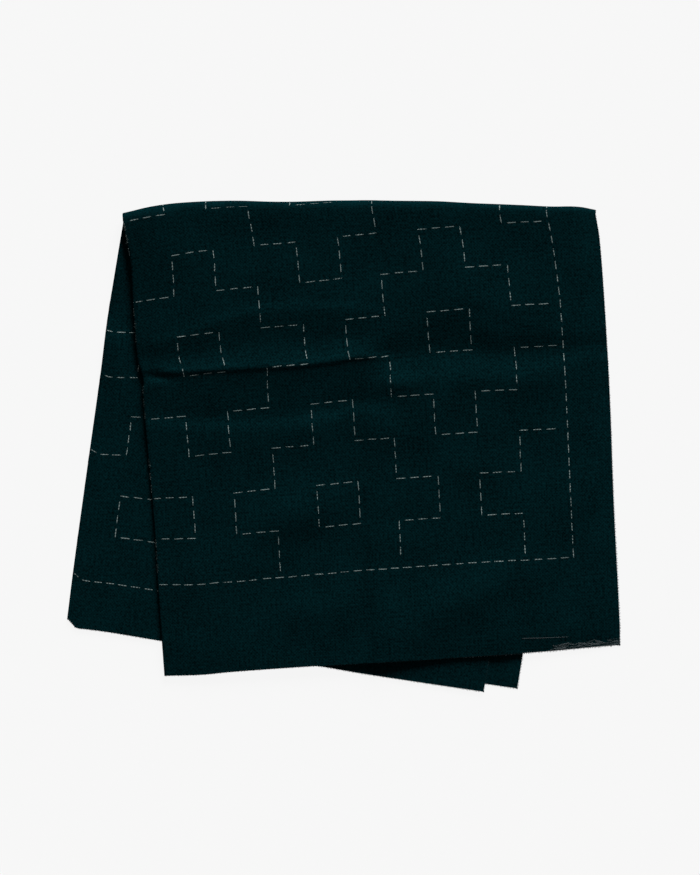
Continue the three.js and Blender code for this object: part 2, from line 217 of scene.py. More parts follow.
@dataclass(frozen=True)
class EdgeLine:
    """An edge of a pair of leaves seen from above, bowed outwards.

    Attributes:
        start: first corner.
        end: last corner.
        bow: rows of (share of the length, distance outwards).
        outward: 1 where the outside lies left of the way from start to end, -1 where right.
    """

    start: Array
    end: Array
    bow: Rows = ((0.0, 0.0), (1.0, 0.0))
    outward: float = 1.0

    @property
    def length(self) -> float:
        """Straight distance between the corners."""
        return float(np.linalg.norm(self.end - self.start))

    def point(self, at: Array | float) -> Array:
        """Points along the edge.

        Args:
            at: shares of the edge's length.

        Returns:
            The points, with their two coordinates in the last axis.
        """
        share = np.asarray(at, float)
        way = self.end - self.start
        normal = np.array([-way[1], way[0]]) / self.length
        out = self.outward * read_curve(self.bow, share)
        return self.start + share[..., None] * way + out[..., None] * normal


@dataclass(frozen=True)
class LeafPair:
    """Two leaves of the closed booklet, spanned by their four edges.

    Attributes:
        fold: upright fold, from the raw edge up.
        outer: right edge, from the raw edge up.
        raw: raw edge, from the fold out.
        top: the line where the pairs meet, from the fold out.
        cloth_at_fold: cloth from the raw edge to the top line, at the upright fold.
        cloth_at_outer: the same at the right edge.
        inner_extra: how far the inner leaf's raw edge stands past the outer leaf's.
    """

    fold: EdgeLine
    outer: EdgeLine
    raw: EdgeLine
    top: EdgeLine
    cloth_at_fold: float
    cloth_at_outer: float
    inner_extra: float

    def length(self, share: Array) -> Array:
        """Distance from the raw edge to the top line."""
        return self.fold.length + (self.outer.length - self.fold.length) * share

    def cloth(self, share: Array) -> Array:
        """Cloth from the raw edge to the top line."""
        return self.cloth_at_fold + (self.cloth_at_outer - self.cloth_at_fold) * share

    def place(self, x: Array, y: Array) -> Array:
        """Places in the pair seen from above.

        Args:
            x: share from the upright fold to the right edge.
            y: share from the raw edge to the top line.

        Returns:
            The points, with their two coordinates in the last axis.
        """
        x, y = np.broadcast_arrays(np.asarray(x, float), np.asarray(y, float))
        right, high = x[..., None], y[..., None]
        rows = self.raw.point(x) * (1 - high) + self.top.point(x) * high
        columns = self.fold.point(y) * (1 - right) + self.outer.point(y) * right
        low = self.raw.point(0.0) * (1 - right) + self.raw.point(1.0) * right
        upper = self.top.point(0.0) * (1 - right) + self.top.point(1.0) * right
        return rows + columns - low * (1 - high) - upper * high


@dataclass(frozen=True)
class CrossCrease:
    """A crosswise crease with what rises and falls beside it, on one side of the upright crease.

    Attributes:
        line: rows of (across, up) of the crease.
        profile: rows of (distance above the crease, height).
        spread_above: rows of (across, share) that stretches the distances above the crease.
        spread_below: the same below the crease.
        level: rows of (across, share) of the heights.
    """

    line: Rows
    profile: Rows
    spread_above: Rows
    spread_below: Rows
    level: Rows

    def height(self, across: Array, up: Array) -> Array:
        """Height over the flat leaf.

        Args:
            across: distance from the upright fold.
            up: distance above the lower raw edge.

        Returns:
            The heights.
        """
        away = up - read_curve(self.line, across)
        above, below = (read_curve(rows, across) for rows in (self.spread_above, self.spread_below))
        profile = read_curve(self.profile, away / np.where(away > 0, above, below))
        return profile * read_curve(self.level, across)


LEFT_CREASE = CrossCrease(
    line=(
        (0.0, 110.8),
        (6.0, 109.4),
        (15.0, 108.4),
        (26.0, 107.7),
        (37.0, 107.3),
        (49.0, 107.3),
        (60.0, 107.6),
        (69.0, 108.1),
        (76.0, 108.8),
        (90.0, 108.2),
    ),
    profile=(
        (-60.0, 0.0),
        (-46.0, 0.15),
        (-35.0, 0.45),
        (-22.2, 1.25),
        (-18.3, 0.35),
        (-12.8, 0.77),
        (-1.6, 2.24),
        (0.0, 3.05),
        (2.5, 2.3),
        (7.0, 1.5),
        (10.0, 1.6),
        (19.0, 2.75),
        (20.6, 2.7),
        (22.0, 2.3),
        (30.0, 2.15),
        (58.0, 2.1),
    ),
    spread_above=(
        (0.0, 0.52),
        (8.0, 0.57),
        (17.6, 0.68),
        (29.0, 0.86),
        (40.0, 0.97),
        (51.0, 1.02),
        (62.0, 0.99),
        (75.0, 0.88),
        (90.0, 0.82),
    ),
    spread_below=(
        (0.0, 0.87),
        (14.0, 0.92),
        (25.0, 0.97),
        (42.0, 1.01),
        (59.0, 0.97),
        (76.0, 0.9),
        (90.0, 0.95),
    ),
    level=((0.0, 0.7), (10.0, 0.78), (24.0, 0.95), (36.0, 1.0), (90.0, 1.0)),
)
RIGHT_CREASE = CrossCrease(
    line=(
        (80.0, 108.5),
        (96.0, 109.3),
        (109.0, 109.8),
        (118.0, 109.0),
        (127.0, 107.6),
        (145.0, 108.3),
        (166.0, 109.3),
    ),
    profile=(
        (-60.0, 0.0),
        (-25.0, 0.25),
        (-16.0, 0.85),
        (-8.0, 1.6),
        (-6.3, 1.5),
        (-2.0, 0.3),
        (0.0, 0.1),
        (2.0, 0.35),
        (8.0, 1.5),
        (12.0, 1.75),
        (30.0, 1.8),
        (60.0, 1.8),
    ),
    spread_above=(
        (80.0, 0.5),
        (88.0, 0.7),
        (97.0, 1.2),
        (106.0, 1.45),
        (116.0, 1.2),
        (127.0, 0.85),
        (166.0, 0.6),
    ),
    spread_below=((80.0, 1.3), (96.0, 1.4), (109.0, 1.5), (127.0, 1.3), (145.0, 1.0), (166.0, 0.75)),
    level=(
        (80.0, 1.1),
        (97.0, 1.2),
        (109.0, 1.3),
        (118.0, 1.05),
        (127.0, 0.85),
        (145.0, 0.7),
        (166.0, 0.5),
    ),
)


@dataclass(frozen=True)
class Relief:
    """Creases, mounds and the loft of the top leaf, which comes down at its raw edges, all upwards from the
    flat leaf.

    Attributes:
        left: the crosswise crease left of the upright crease.
        right: the crosswise crease right of it.
        parting: where the left one gives way to the right one, across.
        parting_fade: cloth over which it does.
        mounds: rows of (across, up, long reach, short reach, turn in degrees, rise).
        upright_line: rows of (up, across) of the upright crease.
        upright_rise: rows of (up, height) of its swelling.
        upright_steep: how far the steep side of the swelling reaches.
        upright_gentle: how far the gentle side reaches.
        hug: share of all this that is lost at the upright fold.
        hug_reach: distance from the upright fold over which it is.
        loft: how far the top leaf stands off the one below.
        loft_reach: distance from a raw edge over which it comes down.
        lower_droop: rows of (across, share) of how much the lower edge comes down.
        leaf: upright fold to the right raw edge.
        waves: rows of (length, direction in degrees, phase in turns, height) of the fine unevenness.
    """

    left: CrossCrease = LEFT_CREASE
    right: CrossCrease = RIGHT_CREASE
    parting: float = 84.0
    parting_fade: float = 18.0
    mounds: Rows = (
        (52.0, 54.5, 17.0, 7.5, 21.0, 1.9),
        (108.0, 20.5, 25.0, 8.5, 28.0, 2.1),
        (86.0, 81.5, 7.0, 6.0, 0.0, 0.9),
        (100.0, 80.0, 13.0, 4.5, 72.0, 0.9),
        (91.0, 98.5, 7.0, 3.0, 0.0, 0.8),
        (133.0, 98.0, 15.0, 5.0, 0.0, 0.5),
        (14.0, 35.0, 16.0, 8.0, 0.0, 0.7),
        (62.0, 20.0, 15.0, 7.5, 0.0, 0.9),
        (115.0, 67.0, 14.0, 7.0, 0.0, 0.6),
        (134.0, 50.0, 26.0, 9.0, 8.0, 0.6),
        (124.0, 127.0, 22.0, 7.0, -20.0, 0.8),
        (108.0, 143.0, 12.0, 7.0, -30.0, 0.5),
        (12.0, 150.0, 14.0, 7.0, 0.0, 0.4),
        (36.0, 139.0, 16.0, 6.0, 12.0, 0.3),
        (5.0, 125.0, 9.0, 5.0, 10.0, 0.6),
        (4.0, 108.8, 6.0, 1.7, -20.0, -1.5),
        (3.0, 105.0, 5.0, 2.0, 20.0, 0.8),
    )
    upright_line: Rows = (
        (0.0, 78.5),
        (35.0, 77.8),
        (57.0, 78.3),
        (79.0, 79.2),
        (109.0, 81.0),
        (155.0, 84.5),
    )
    upright_rise: Rows = (
        (0.0, 1.0),
        (35.0, 0.9),
        (55.0, 0.5),
        (80.0, 0.35),
        (110.0, 0.25),
        (155.0, 0.1),
    )
    upright_steep: float = 3.4
    upright_gentle: float = 9.0
    hug: float = 0.5
    hug_reach: float = 7.0
    loft: float = 0.8
    loft_reach: float = 4.5
    lower_droop: Rows = ((0.0, 0.0), (86.0, 0.1), (104.0, 0.8), (166.0, 1.0))
    leaf: float = 166.0
    waves: Rows = (
        (23.0, 12.0, 0.10, 0.045),
        (17.0, 74.0, 0.45, 0.035),
        (31.0, 128.0, 0.80, 0.060),
        (11.0, 97.0, 0.30, 0.015),
        (13.5, 158.0, 0.65, 0.020),
    )

    def height(self, across: Array, up: Array) -> Array:
        """Height over the flat leaf.

        Args:
            across: distance from the upright fold.
            up: distance above the lower raw edge.

        Returns:
            The heights.
        """
        share = smooth(0.5 + (across - self.parting) / self.parting_fade)
        total = self.left.height(across, up) * (1 - share) + self.right.height(across, up) * share
        for middle, level, long, short, turn, rise in self.mounds:
            cos, sin = math.cos(math.radians(turn)), math.sin(math.radians(turn))
            along = (across - middle) * cos + (up - level) * sin
            aside = (up - level) * cos - (across - middle) * sin
            total = total + rise * bell(along, long) * bell(aside, short)
        aside = across - read_curve(self.upright_line, up)
        reach = np.where(aside < 0, self.upright_steep, self.upright_gentle)
        total = total + read_curve(self.upright_rise, up) * bell(aside, reach)
        low = read_table(self.lower_droop, across) * bell(up, self.loft_reach)
        side = bell(self.leaf - across, self.loft_reach)
        total = total + self.loft * (1 - low) * (1 - side)
        return total * (1 - self.hug * bell(across, self.hug_reach))

    def fine(self, across: Array, up: Array) -> Array:
        """The cloth's fine unevenness, above and below its middle, as long low waves."""
        total = np.zeros(np.broadcast(across, up).shape)
        for length, direction, phase, rise in self.waves:
            turn = math.radians(direction)
            along = across * math.cos(turn) + up * math.sin(turn)
            total = total + rise * np.sin(2 * math.pi * (along / length + phase))
        return total


def corner(x: float, y: float, right: float = 0.0, down: float = 0.0) -> Array:
    """A corner of the outline, moved from the outside of a fold to its middle."""
    return np.array([x + right, y - down])


@dataclass(frozen=True)
class FoldedForm:
    """The middle surface of the cloth, folded in four.

    Attributes:
        cut: the cloth as it is cut.
        stack: heights of the layers.
        relief: creases of the top leaf.
        corner_lift: how much higher the loose corner of both folds stands.
        lift_across: reach of that lift from the upright fold.
        lift_down: reach of that lift from the top fold.
        fold_rise: how much higher the cloth stands along the top fold.
        fold_reach: reach of that rise from the top fold.
        fold_depth: how much farther out the creased cloth reaches round the top fold.
        sag_length: length over which the front pair sinks past the pair behind.
        strip_profile: rows of (up, height) of the strip of the back pair that shows.
        strip_spread: width of that strip, as a share of the distance below the top fold.
        extra_ramp: cloth from the upright fold to a pair's full inner extra.
        top_ease: distance below the top fold over which the inner leaf joins the creases.
    """

    cut: ClothCut = field(default_factory=ClothCut)
    stack: LayerStack = field(default_factory=LayerStack)
    relief: Relief = field(default_factory=Relief)
    corner_lift: float = 2.0
    lift_across: float = 22.0
    lift_down: float = 22.0
    fold_rise: float = 0.7
    fold_reach: float = 7.0
    fold_depth: float = 1.9
    sag_length: float = 20.0
    strip_profile: Rows = (
        (60.0, 0.0),
        (84.0, 0.3),
        (97.0, 1.0),
        (102.5, 1.5),
        (104.5, 1.4),
        (111.0, 0.0),
        (114.0, 0.2),
        (124.0, 1.2),
        (134.0, 2.0),
        (149.0, 2.2),
    )
    strip_spread: float = 0.28
    extra_ramp: float = 4.0
    top_ease: float = 14.0

    def __post_init__(self) -> None:
        """Lays out the edges of both pairs."""
        side, drop = self.stack.side_allowance, self.stack.top_allowance + self.fold_depth
        top_fold = corner(-79.8, 84.7, side, drop)
        top_outer = corner(91.7, 87.4, 0.0, drop)
        front_outer = corner(100.8, -72.4)
        front_fold = corner(-64.9, -83.5, side)
        back_outer = corner(63.5, -88.3)
        back_fold = corner(-100.3, -63.1, side)
        top = EdgeLine(
            top_fold,
            top_outer,
            (
                (0.0, 0.0),
                (0.06, 1.8),
                (0.13, 3.25),
                (0.22, 3.8),
                (0.35, 3.2),
                (0.45, 3.4),
                (0.61, 2.75),
                (0.83, 1.15),
                (0.91, 0.5),
                (0.97, 0.5),
                (1.0, 0.0),
            ),
        )
        left_bow = (
            (0.0, 0.0),
            (0.19, -0.6),
            (0.33, -1.3),
            (0.62, -1.4),
            (0.645, -2.0),
            (0.665, -1.7),
            (0.69, -0.7),
            (0.8, -0.8),
            (0.91, -1.3),
            (1.0, 0.0),
        )
        strip_bow = (
            (0.0, 0.0),
            (0.13, 0.3),
            (0.38, 0.45),
            (0.62, 0.5),
            (0.75, 0.8),
            (0.87, 0.45),
            (1.0, 0.0),
        )
        behind_bow = (
            (0.0, 0.0),
            (0.07, -0.5),
            (0.13, -0.5),
            (0.2, -0.35),
            (0.57, 0.0),
            (0.65, 0.25),
            (0.85, 0.2),
            (1.0, 0.0),
        )
        right_bow = (
            (0.0, 0.0),
            (0.06, 0.5),
            (0.33, 0.8),
            (0.57, 1.5),
            (0.78, 1.5),
            (0.94, 1.0),
            (1.0, 0.0),
        )
        lower_bow = ((0.0, 0.0), (0.08, 0.5), (0.14, 0.2), (0.3, 0.1), (0.8, 0.7), (1.0, 0.0))
        front = LeafPair(
            fold=EdgeLine(front_fold, top_fold, left_bow),
            outer=EdgeLine(front_outer, top_outer, right_bow, -1.0),
            raw=EdgeLine(front_fold, front_outer, lower_bow, -1.0),
            top=top,
            cloth_at_fold=165.1,
            cloth_at_outer=152.7,
            inner_extra=-0.8,
        )
        back = LeafPair(
            fold=EdgeLine(back_fold, top_fold, strip_bow),
            outer=EdgeLine(back_outer, top_outer),
            raw=EdgeLine(back_fold, back_outer, behind_bow, -1.0),
            top=top,
            cloth_at_fold=147.5,
            cloth_at_outer=173.4,
            inner_extra=2.9,
        )
        object.__setattr__(self, "front", front)
        object.__setattr__(self, "back", back)

    def leaf_place(self, across: Array) -> tuple[Array, Array]:
        """Where a place of the sheet stands in its pair.

        Args:
            across: cloth from the upright fold.

        Returns:
            Distance from the fold's middle line, and from the middle of the pair to the leaf.
        """
        offset, bend = self.stack.leaf_offset, self.stack.half_bend
        reach = np.abs(across)
        angle = across / offset
        aside = np.where(reach >= bend, reach - bend, -offset * np.cos(angle))
        out = np.where(reach >= bend, np.sign(across) * offset, offset * np.sin(angle))
        return aside, out

    def sag(self, point: Array) -> Array:
        """Height lost where one or both leaves behind end under the front pair.

        Args:
            point: places seen from above.

        Returns:
            The heights.
        """

        def past(start: Array, end: Array) -> Array:
            """How far the places lie past a line, on its right side."""
            way = (end - start) / np.linalg.norm(end - start)
            return (point[..., 0] - start[0]) * way[1] - (point[..., 1] - start[1]) * way[0]

        def kept(side: Array, below: Array) -> Array:
            """Share of a layer's height still felt."""
            return (1 - smooth(side / self.sag_length)) * (1 - smooth(below / self.sag_length))

        raw, top = self.back.raw, self.back.top
        way = (raw.end - raw.start) / raw.length
        inner_raw = raw.end + way * (self.cut.inner_leaf - self.cut.outer_leaf)
        inner_top = top.point(self.cut.inner_leaf / self.cut.outer_leaf)
        below = past(raw.start, raw.end)
        outer_kept = kept(past(raw.end, top.end), below)
        inner_kept = kept(past(inner_raw, inner_top), below - self.back.inner_extra)
        return self.stack.pitch * (2 - outer_kept - inner_kept)

    def front_point(self, across: Array, share: Array) -> Array:
        """Middle surface of the front pair.

        Args:
            across: cloth from the upright fold.
            share: from the lower raw edge to the top fold.

        Returns:
            The points.
        """
        aside, offset = self.leaf_place(across)
        x = self.stack.share(aside, self.cut.outer_leaf)
        length = self.front.length(x)
        up = share * length
        ramp = smooth(-across / self.extra_ramp)
        point = self.front.place(x, share - self.front.inner_extra * ramp * (1 - share) / length)
        lift = self.corner_lift * bell(np.maximum(aside, 0.0), self.lift_across)
        flat = self.stack.front_height + offset + lift * bell(length - up, self.lift_down)
        flat = flat + self.fold_rise * bell(length - up, self.fold_reach)
        top_leaf = np.maximum(0.0, offset / self.stack.leaf_offset)
        creased = top_leaf + (1 - top_leaf) * (1 - smooth((length - up) / self.top_ease))
        past_inner = (aside - self.cut.inner_leaf) / (self.cut.outer_leaf - self.cut.inner_leaf)
        loose = self.sag(point) + smooth(past_inner) * self.stack.pitch
        loose = np.minimum(loose, flat - self.stack.sheet / 2)
        height = flat - loose + creased * self.relief.height(aside, up)
        height = height + creased * self.relief.fine(aside, up)
        return np.concatenate([point, height[..., None]], axis=-1)

    def back_point(self, across: Array, down: Array) -> Array:
        """Middle surface of the back pair.

        Args:
            across: cloth from the upright fold.
            down: share from the top fold to the upper raw edge.

        Returns:
            The points.
        """
        aside, offset = self.leaf_place(across)
        x = self.stack.share(aside, self.cut.outer_leaf)
        length = self.back.length(x)
        ramp = smooth(-across / self.extra_ramp)
        point = self.back.place(x, 1 - down - self.back.inner_extra * ramp * down / length)
        upper_leaf = np.maximum(0.0, -offset / self.stack.leaf_offset)
        strip = self.strip_spread * np.maximum(self.back.fold.length * down, 1.0)
        shown = upper_leaf * (1 - smooth(aside / strip)) * smooth(down * length / self.top_ease)
        crease = shown * read_curve(self.strip_profile, (1 - down) * length)
        height = self.stack.back_height - offset + crease
        return np.concatenate([point, height[..., None]], axis=-1)

    def top_point(self, across: Array, turn: Array) -> Array:
        """Middle surface round the top fold.

        Args:
            across: cloth from the upright fold.
            turn: angle, from 0 in front to pi behind.

        Returns:
            The points.
        """
        nearby = 0.01
        aside, offset = self.leaf_place(across)
        x = self.stack.share(aside, self.cut.outer_leaf)
        front = self.front_point(across, np.ones_like(across))
        height = front[..., 2] - offset
        radius = (height - self.stack.back_height) / 2
        ahead = self.front.top.point(x + nearby) - self.front.top.point(x - nearby)
        out = np.stack([-ahead[..., 1], ahead[..., 0]], axis=-1)
        out = out / np.linalg.norm(out, axis=-1, keepdims=True)
        reach = (radius + offset) * np.sin(turn)
        rise = (radius + offset) * np.cos(turn)
        place = front[..., :2] + out * reach[..., None]
        middle = (height + self.stack.back_height) / 2 + rise
        return np.concatenate([place, middle[..., None]], axis=-1)


@dataclass(frozen=True)
class Fraying:
    """How far the cross yarns have come away along each raw edge, which shortens the weave.

    Attributes:
        lower: rows of (across, depth) on the lower raw edge.
        right: rows of (up, depth) on the right raw edge.
        upper: rows of (across, depth) on the upper raw edge.
        left: rows of (up, depth) on the left raw edge.
    """

    lower: Rows = (
        (-154.0, 0.4),
        (0.0, 0.25),
        (95.0, 0.3),
        (110.0, 0.45),
        (155.0, 0.5),
        (166.0, 0.3),
    )
    right: Rows = ((0.0, 0.3), (10.0, 0.45), (50.0, 0.4), (80.0, 0.3), (150.0, 0.25), (336.0, 0.4))
    upper: Rows = ((-154.0, 0.35), (0.0, 0.3), (166.0, 0.35))
    left: Rows = ((0.0, 0.3), (336.0, 0.3))


@dataclass
class SheetGrid:
    """The folded middle surface as a grid of columns and rows, finer where the cloth shows.

    Attributes:
        form: the folded middle surface.
        fraying: how far the weave ends inside the raw edges.
        fold_steps: divisions round the upright fold.
        top_steps: divisions round the top fold.
        near_step: spacing where the cloth shows.
        hidden_step: spacing where it is covered.
        back_step: spacing of the rows behind.
        strip_reach: cloth left of the upright fold that is divided finely.
        crest_below: how far the finer rows reach below the main crease.
        crest_above: how far they reach above it.
    """

    form: FoldedForm
    fraying: Fraying
    fold_steps: int = 10
    top_steps: int = 12
    near_step: float = 1.45
    hidden_step: float = 3.0
    back_step: float = 2.4
    strip_reach: float = 46.0
    crest_below: float = 4.0
    crest_above: float = 5.0

    def __post_init__(self) -> None:
        """Works out every point of the grid, with its place on the cloth and its normal."""
        cut = self.form.cut
        self.columns = self.column_places()
        self.front_shares = self.front_rows()
        self.top_turns = np.linspace(0.0, math.pi, self.top_steps + 1)[1:]
        self.back_shares = even_steps(0.0, 1.0, self.back_step / cut.outer_leaf)[1:]
        level = self.row_levels()
        columns, level = np.meshgrid(self.columns, level, indexing="ij")
        self.up = self.cloth_up(columns, level)
        self.across = self.frayed_across(columns, self.up)
        self.points = self.surface(self.across, level, self.up)
        self.points = self.points + self.shift(columns, level)
        self.normals = self.across_surface(self.points)

    def column_places(self) -> Array:
        """Cloth across, from the left raw edge through the upright fold to the right raw edge."""
        cut, bend = self.form.cut, self.form.stack.half_bend
        crease = self.form.relief.upright_line[2][1] + bend
        reach = self.form.relief.upright_steep * 3
        return np.concatenate(
            [
                even_steps(-cut.inner_leaf, -self.strip_reach, self.hidden_step)[:-1],
                even_steps(-self.strip_reach, -bend, self.near_step)[:-1],
                np.linspace(-bend, bend, self.fold_steps + 1)[:-1],
                even_steps(bend, crease - reach, self.near_step)[:-1],
                even_steps(crease - reach, crease + reach, self.near_step / 2)[:-1],
                even_steps(crease + reach, cut.outer_leaf, self.near_step),
            ]
        )

    def front_rows(self) -> Array:
        """Shares from the lower raw edge to the top fold, closer at the main crease."""
        length = self.form.front.fold.length
        crest = self.form.relief.left.line[3][1]
        near, far = crest - self.crest_below, crest + self.crest_above
        ups = np.concatenate(
            [
                even_steps(0.0, near, self.near_step)[:-1],
                even_steps(near, far, self.near_step / 2)[:-1],
                even_steps(far, length, self.near_step),
            ]
        )
        return ups / length

    def row_levels(self) -> Array:
        """One number for each row: 0 to 1 in front, to 2 round the top fold, to 3 behind."""
        turns = 1 + self.top_turns / math.pi
        return np.concatenate([self.front_shares, turns, 2 + self.back_shares])

    def cloth_up(self, across: Array, level: Array, frayed: float = 1.0) -> Array:
        """Cloth above the lower raw edge of a row, less what has frayed away.

        Args:
            across: cloth from the upright fold.
            level: the row's number.
            frayed: share of the fraying that is taken off.

        Returns:
            Cloth above the lower raw edge.
        """
        aside, _ = self.form.leaf_place(across)
        x = self.form.stack.share(aside, self.form.cut.outer_leaf)
        front, back = self.form.front.cloth(x), self.form.back.cloth(x)
        length = self.form.cut.length
        low = frayed * read_table(self.fraying.lower, across)
        high = length - frayed * read_table(self.fraying.upper, across)
        in_front = low + (front - low) * np.clip(level, 0.0, 1.0)
        round_top = front + (length - back - front) * (level - 1)
        behind = length - back + (high - length + back) * (level - 2)
        return np.where(level <= 1, in_front, np.where(level < 2, round_top, behind))

    def frayed_across(self, across: Array, up: Array) -> Array:
        """Moves the columns in from the frayed side edges, more the farther they are out."""
        cut = self.form.cut
        right = across * (1 - read_table(self.fraying.right, up) / cut.outer_leaf)
        left = across * (1 - read_table(self.fraying.left, up) / cut.inner_leaf)
        outside = np.abs(across) > self.form.stack.half_bend
        return np.where(outside, np.where(across > 0, right, left), across)

    def surface(self, across: Array, level: Array, up: Array) -> Array:
        """Points of the middle surface.

        Args:
            across: cloth from the upright fold.
            level: the rows' numbers.
            up: cloth above the lower raw edge.

        Returns:
            The points.
        """
        aside, _ = self.form.leaf_place(across)
        x = self.form.stack.share(aside, self.form.cut.outer_leaf)
        front = self.form.front_point(across, up / self.form.front.cloth(x))
        turn = np.clip(level - 1, 0.0, 1.0) * math.pi
        top = self.form.top_point(across, turn)
        down = 1 - (self.form.cut.length - up) / self.form.back.cloth(x)
        back = self.form.back_point(across, down)
        level = level[..., None]
        return np.where(level <= 1, front, np.where(level < 2, top, back))

    @staticmethod
    def across_surface(points: Array) -> Array:
        """Unit normals of a grid of points, on the printed side."""
        normals = np.cross(np.gradient(points, axis=0), np.gradient(points, axis=1))
        return normals / np.linalg.norm(normals, axis=-1, keepdims=True)

    def shift(self, across: Array, level: Array) -> Array:
        """The way from the folded form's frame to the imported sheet's.

        Args:
            across: cloth from the upright fold, for every point of the unfrayed cloth.
            level: the rows' numbers.

        Returns:
            The way that brings the middle of the cut cloth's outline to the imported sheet's.
        """
        whole = self.surface(across, level, self.cloth_up(across, level, frayed=0.0))
        half = self.across_surface(whole) * self.form.stack.sheet / 2
        outline = np.stack([whole + half, whole - half])
        middle = (outline.min(axis=(0, 1, 2)) + outline.max(axis=(0, 1, 2))) / 2
        low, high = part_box(CAD_NODE)
        way = (np.array(low) + np.array(high)) / 2 / METRES - middle
        return way * np.array([1.0, 1.0, 0.0])

    def face(self, side: Side) -> Array:
        """Points of one face of the cloth."""
        return self.points + self.normals * side.value * self.form.stack.sheet / 2

    def sample(self, across: Array, up: Array) -> tuple[Array, Array]:
        """Points and normals of the middle surface at places on the cloth.

        Args:
            across: cloth from the upright fold.
            up: cloth above the lower raw edge.

        Returns:
            The points and the unit normals there.
        """
        i = self.column_index(across, up)
        left = np.clip(np.floor(i).astype(int), 0, len(self.columns) - 2)
        a = np.clip(i - left, 0.0, 1.0)
        rows = self.up.shape[1]
        mixed = self.up[left] * (1 - a)[..., None] + self.up[left + 1] * a[..., None]
        low = np.clip((mixed <= up[..., None]).sum(axis=-1) - 1, 0, rows - 2)
        first = np.take_along_axis(mixed, low[..., None], -1)[..., 0]
        last = np.take_along_axis(mixed, low[..., None] + 1, -1)[..., 0]
        b = np.clip((up - first) / (last - first), 0.0, 1.0)

        def blend(values: Array) -> Array:
            """Mixes the four corners of the cell that a place lies in."""
            one, two = a[..., None], b[..., None]
            lower = values[left, low] * (1 - one) + values[left + 1, low] * one
            upper = values[left, low + 1] * (1 - one) + values[left + 1, low + 1] * one
            return lower * (1 - two) + upper * two

        normal = blend(self.normals)
        return blend(self.points), normal / np.linalg.norm(normal, axis=-1, keepdims=True)

    def column_index(self, across: Array, up: Array) -> Array:
        """The number of the column at a place, with its fraction."""
        cut = self.form.cut
        right = across / (1 - read_table(self.fraying.right, up) / cut.outer_leaf)
        left = across / (1 - read_table(self.fraying.left, up) / cut.inner_leaf)
        outside = np.abs(across) > self.form.stack.half_bend
        wide = np.where(outside, np.where(across > 0, right, left), across)
        return np.interp(wide, self.columns, np.arange(len(self.columns)))


def new_mesh(name: str, points: Array, faces: Array, flat_faces: Array | None = None) -> bpy.types.Object:
    """Makes a mesh object of four-sided faces.

    Args:
        name: the object's name.
        points: its vertices in millimetres.
        faces: rows of four vertex numbers.
        flat_faces: true for each face that is shaded flat.

    Returns:
        The object, linked to the scene.
    """
    mesh = bpy.data.meshes.new(name)
    mesh.vertices.add(len(points))
    mesh.vertices.foreach_set("co", (points * METRES).astype(np.float32).ravel())
    mesh.loops.add(faces.size)
    mesh.loops.foreach_set("vertex_index", faces.astype(np.int32).ravel())
    mesh.polygons.add(len(faces))
    mesh.polygons.foreach_set("loop_start", np.arange(0, faces.size, 4, dtype=np.int32))
    smooth_faces = np.ones(len(faces), bool) if flat_faces is None else ~flat_faces
    mesh.update(calc_edges=True)
    mesh.validate()
    mesh.polygons.foreach_set("use_smooth", smooth_faces)
    if flat_faces is not None:
        edges = np.empty(faces.size, np.int32)
        mesh.loops.foreach_get("edge_index", edges)
        sharp = np.zeros(len(mesh.edges), bool)
        sharp[edges.reshape(-1, 4)[flat_faces].ravel()] = True
        mesh.edges.foreach_set("use_edge_sharp", sharp)
    piece = bpy.data.objects.new(name, mesh)
    bpy.context.scene.collection.objects.link(piece)
    return piece


def set_map(piece: bpy.types.Object, name: str, places: Array) -> None:
    """Gives a piece a UV map.

    Args:
        piece: the piece.
        name: the map's name.
        places: one row of two numbers for each face corner.
    """
    layer = piece.data.uv_layers.new(name=name)
    layer.data.foreach_set("uv", places.astype(np.float32).ravel())


@dataclass
class SamplerCloth:
    """The cloth itself: one sheet of plain weave, folded in four.

    Attributes:
        grid: the folded middle surface.
        name: the piece's name.
    """

    grid: SheetGrid
    name: str = "folded_cloth"

    def build(self) -> bpy.types.Object:
        """Makes the sheet with its two faces and its cut edge.

        Returns:
            The piece.
        """
        wide, high = self.grid.up.shape
        count = wide * high
        points = np.concatenate([self.grid.face(side).reshape(-1, 3) for side in Side])
        number = np.arange(count).reshape(wide, high)
        a, b = number[:-1, :-1].ravel(), number[1:, :-1].ravel()
        c, d = number[1:, 1:].ravel(), number[:-1, 1:].ravel()
        upper = np.stack([a, b, c, d], axis=1)
        under = np.stack([a, d, c, b], axis=1) + count
        rim = self.rim_faces(number, count)
        faces = np.concatenate([upper, under, rim])
        flat = np.arange(len(faces)) >= len(upper) + len(under)
        piece = new_mesh(self.name, points, faces, flat)
        corners = faces.ravel() % count
        places = np.stack([self.grid.across.ravel()[corners], self.grid.up.ravel()[corners]], axis=1)
        set_map(piece, CLOTH_MAP, places)
        self.piece = piece
        return piece

    @staticmethod
    def rim_faces(number: Array, count: int) -> Array:
        """The faces of the cut edge, between the two faces of the cloth.

        Args:
            number: vertex numbers of the printed face, by column and row.
            count: how far the plain face's numbers stand after them.

        Returns:
            Rows of four vertex numbers.
        """
        left, right = number[0], number[-1][::-1]
        lower, upper = number[:, 0][::-1], number[:, -1]
        strips = [np.stack([line[:-1], line[1:]], axis=1) for line in (left, upper, right, lower)]
        pairs = np.concatenate(strips)
        return np.stack([pairs[:, 0], pairs[:, 1], pairs[:, 1] + count, pairs[:, 0] + count], axis=1)

    def dress(self, material: bpy.types.Material) -> None:
        """Gives the cloth its finish."""
        self.piece.data.materials.append(material)


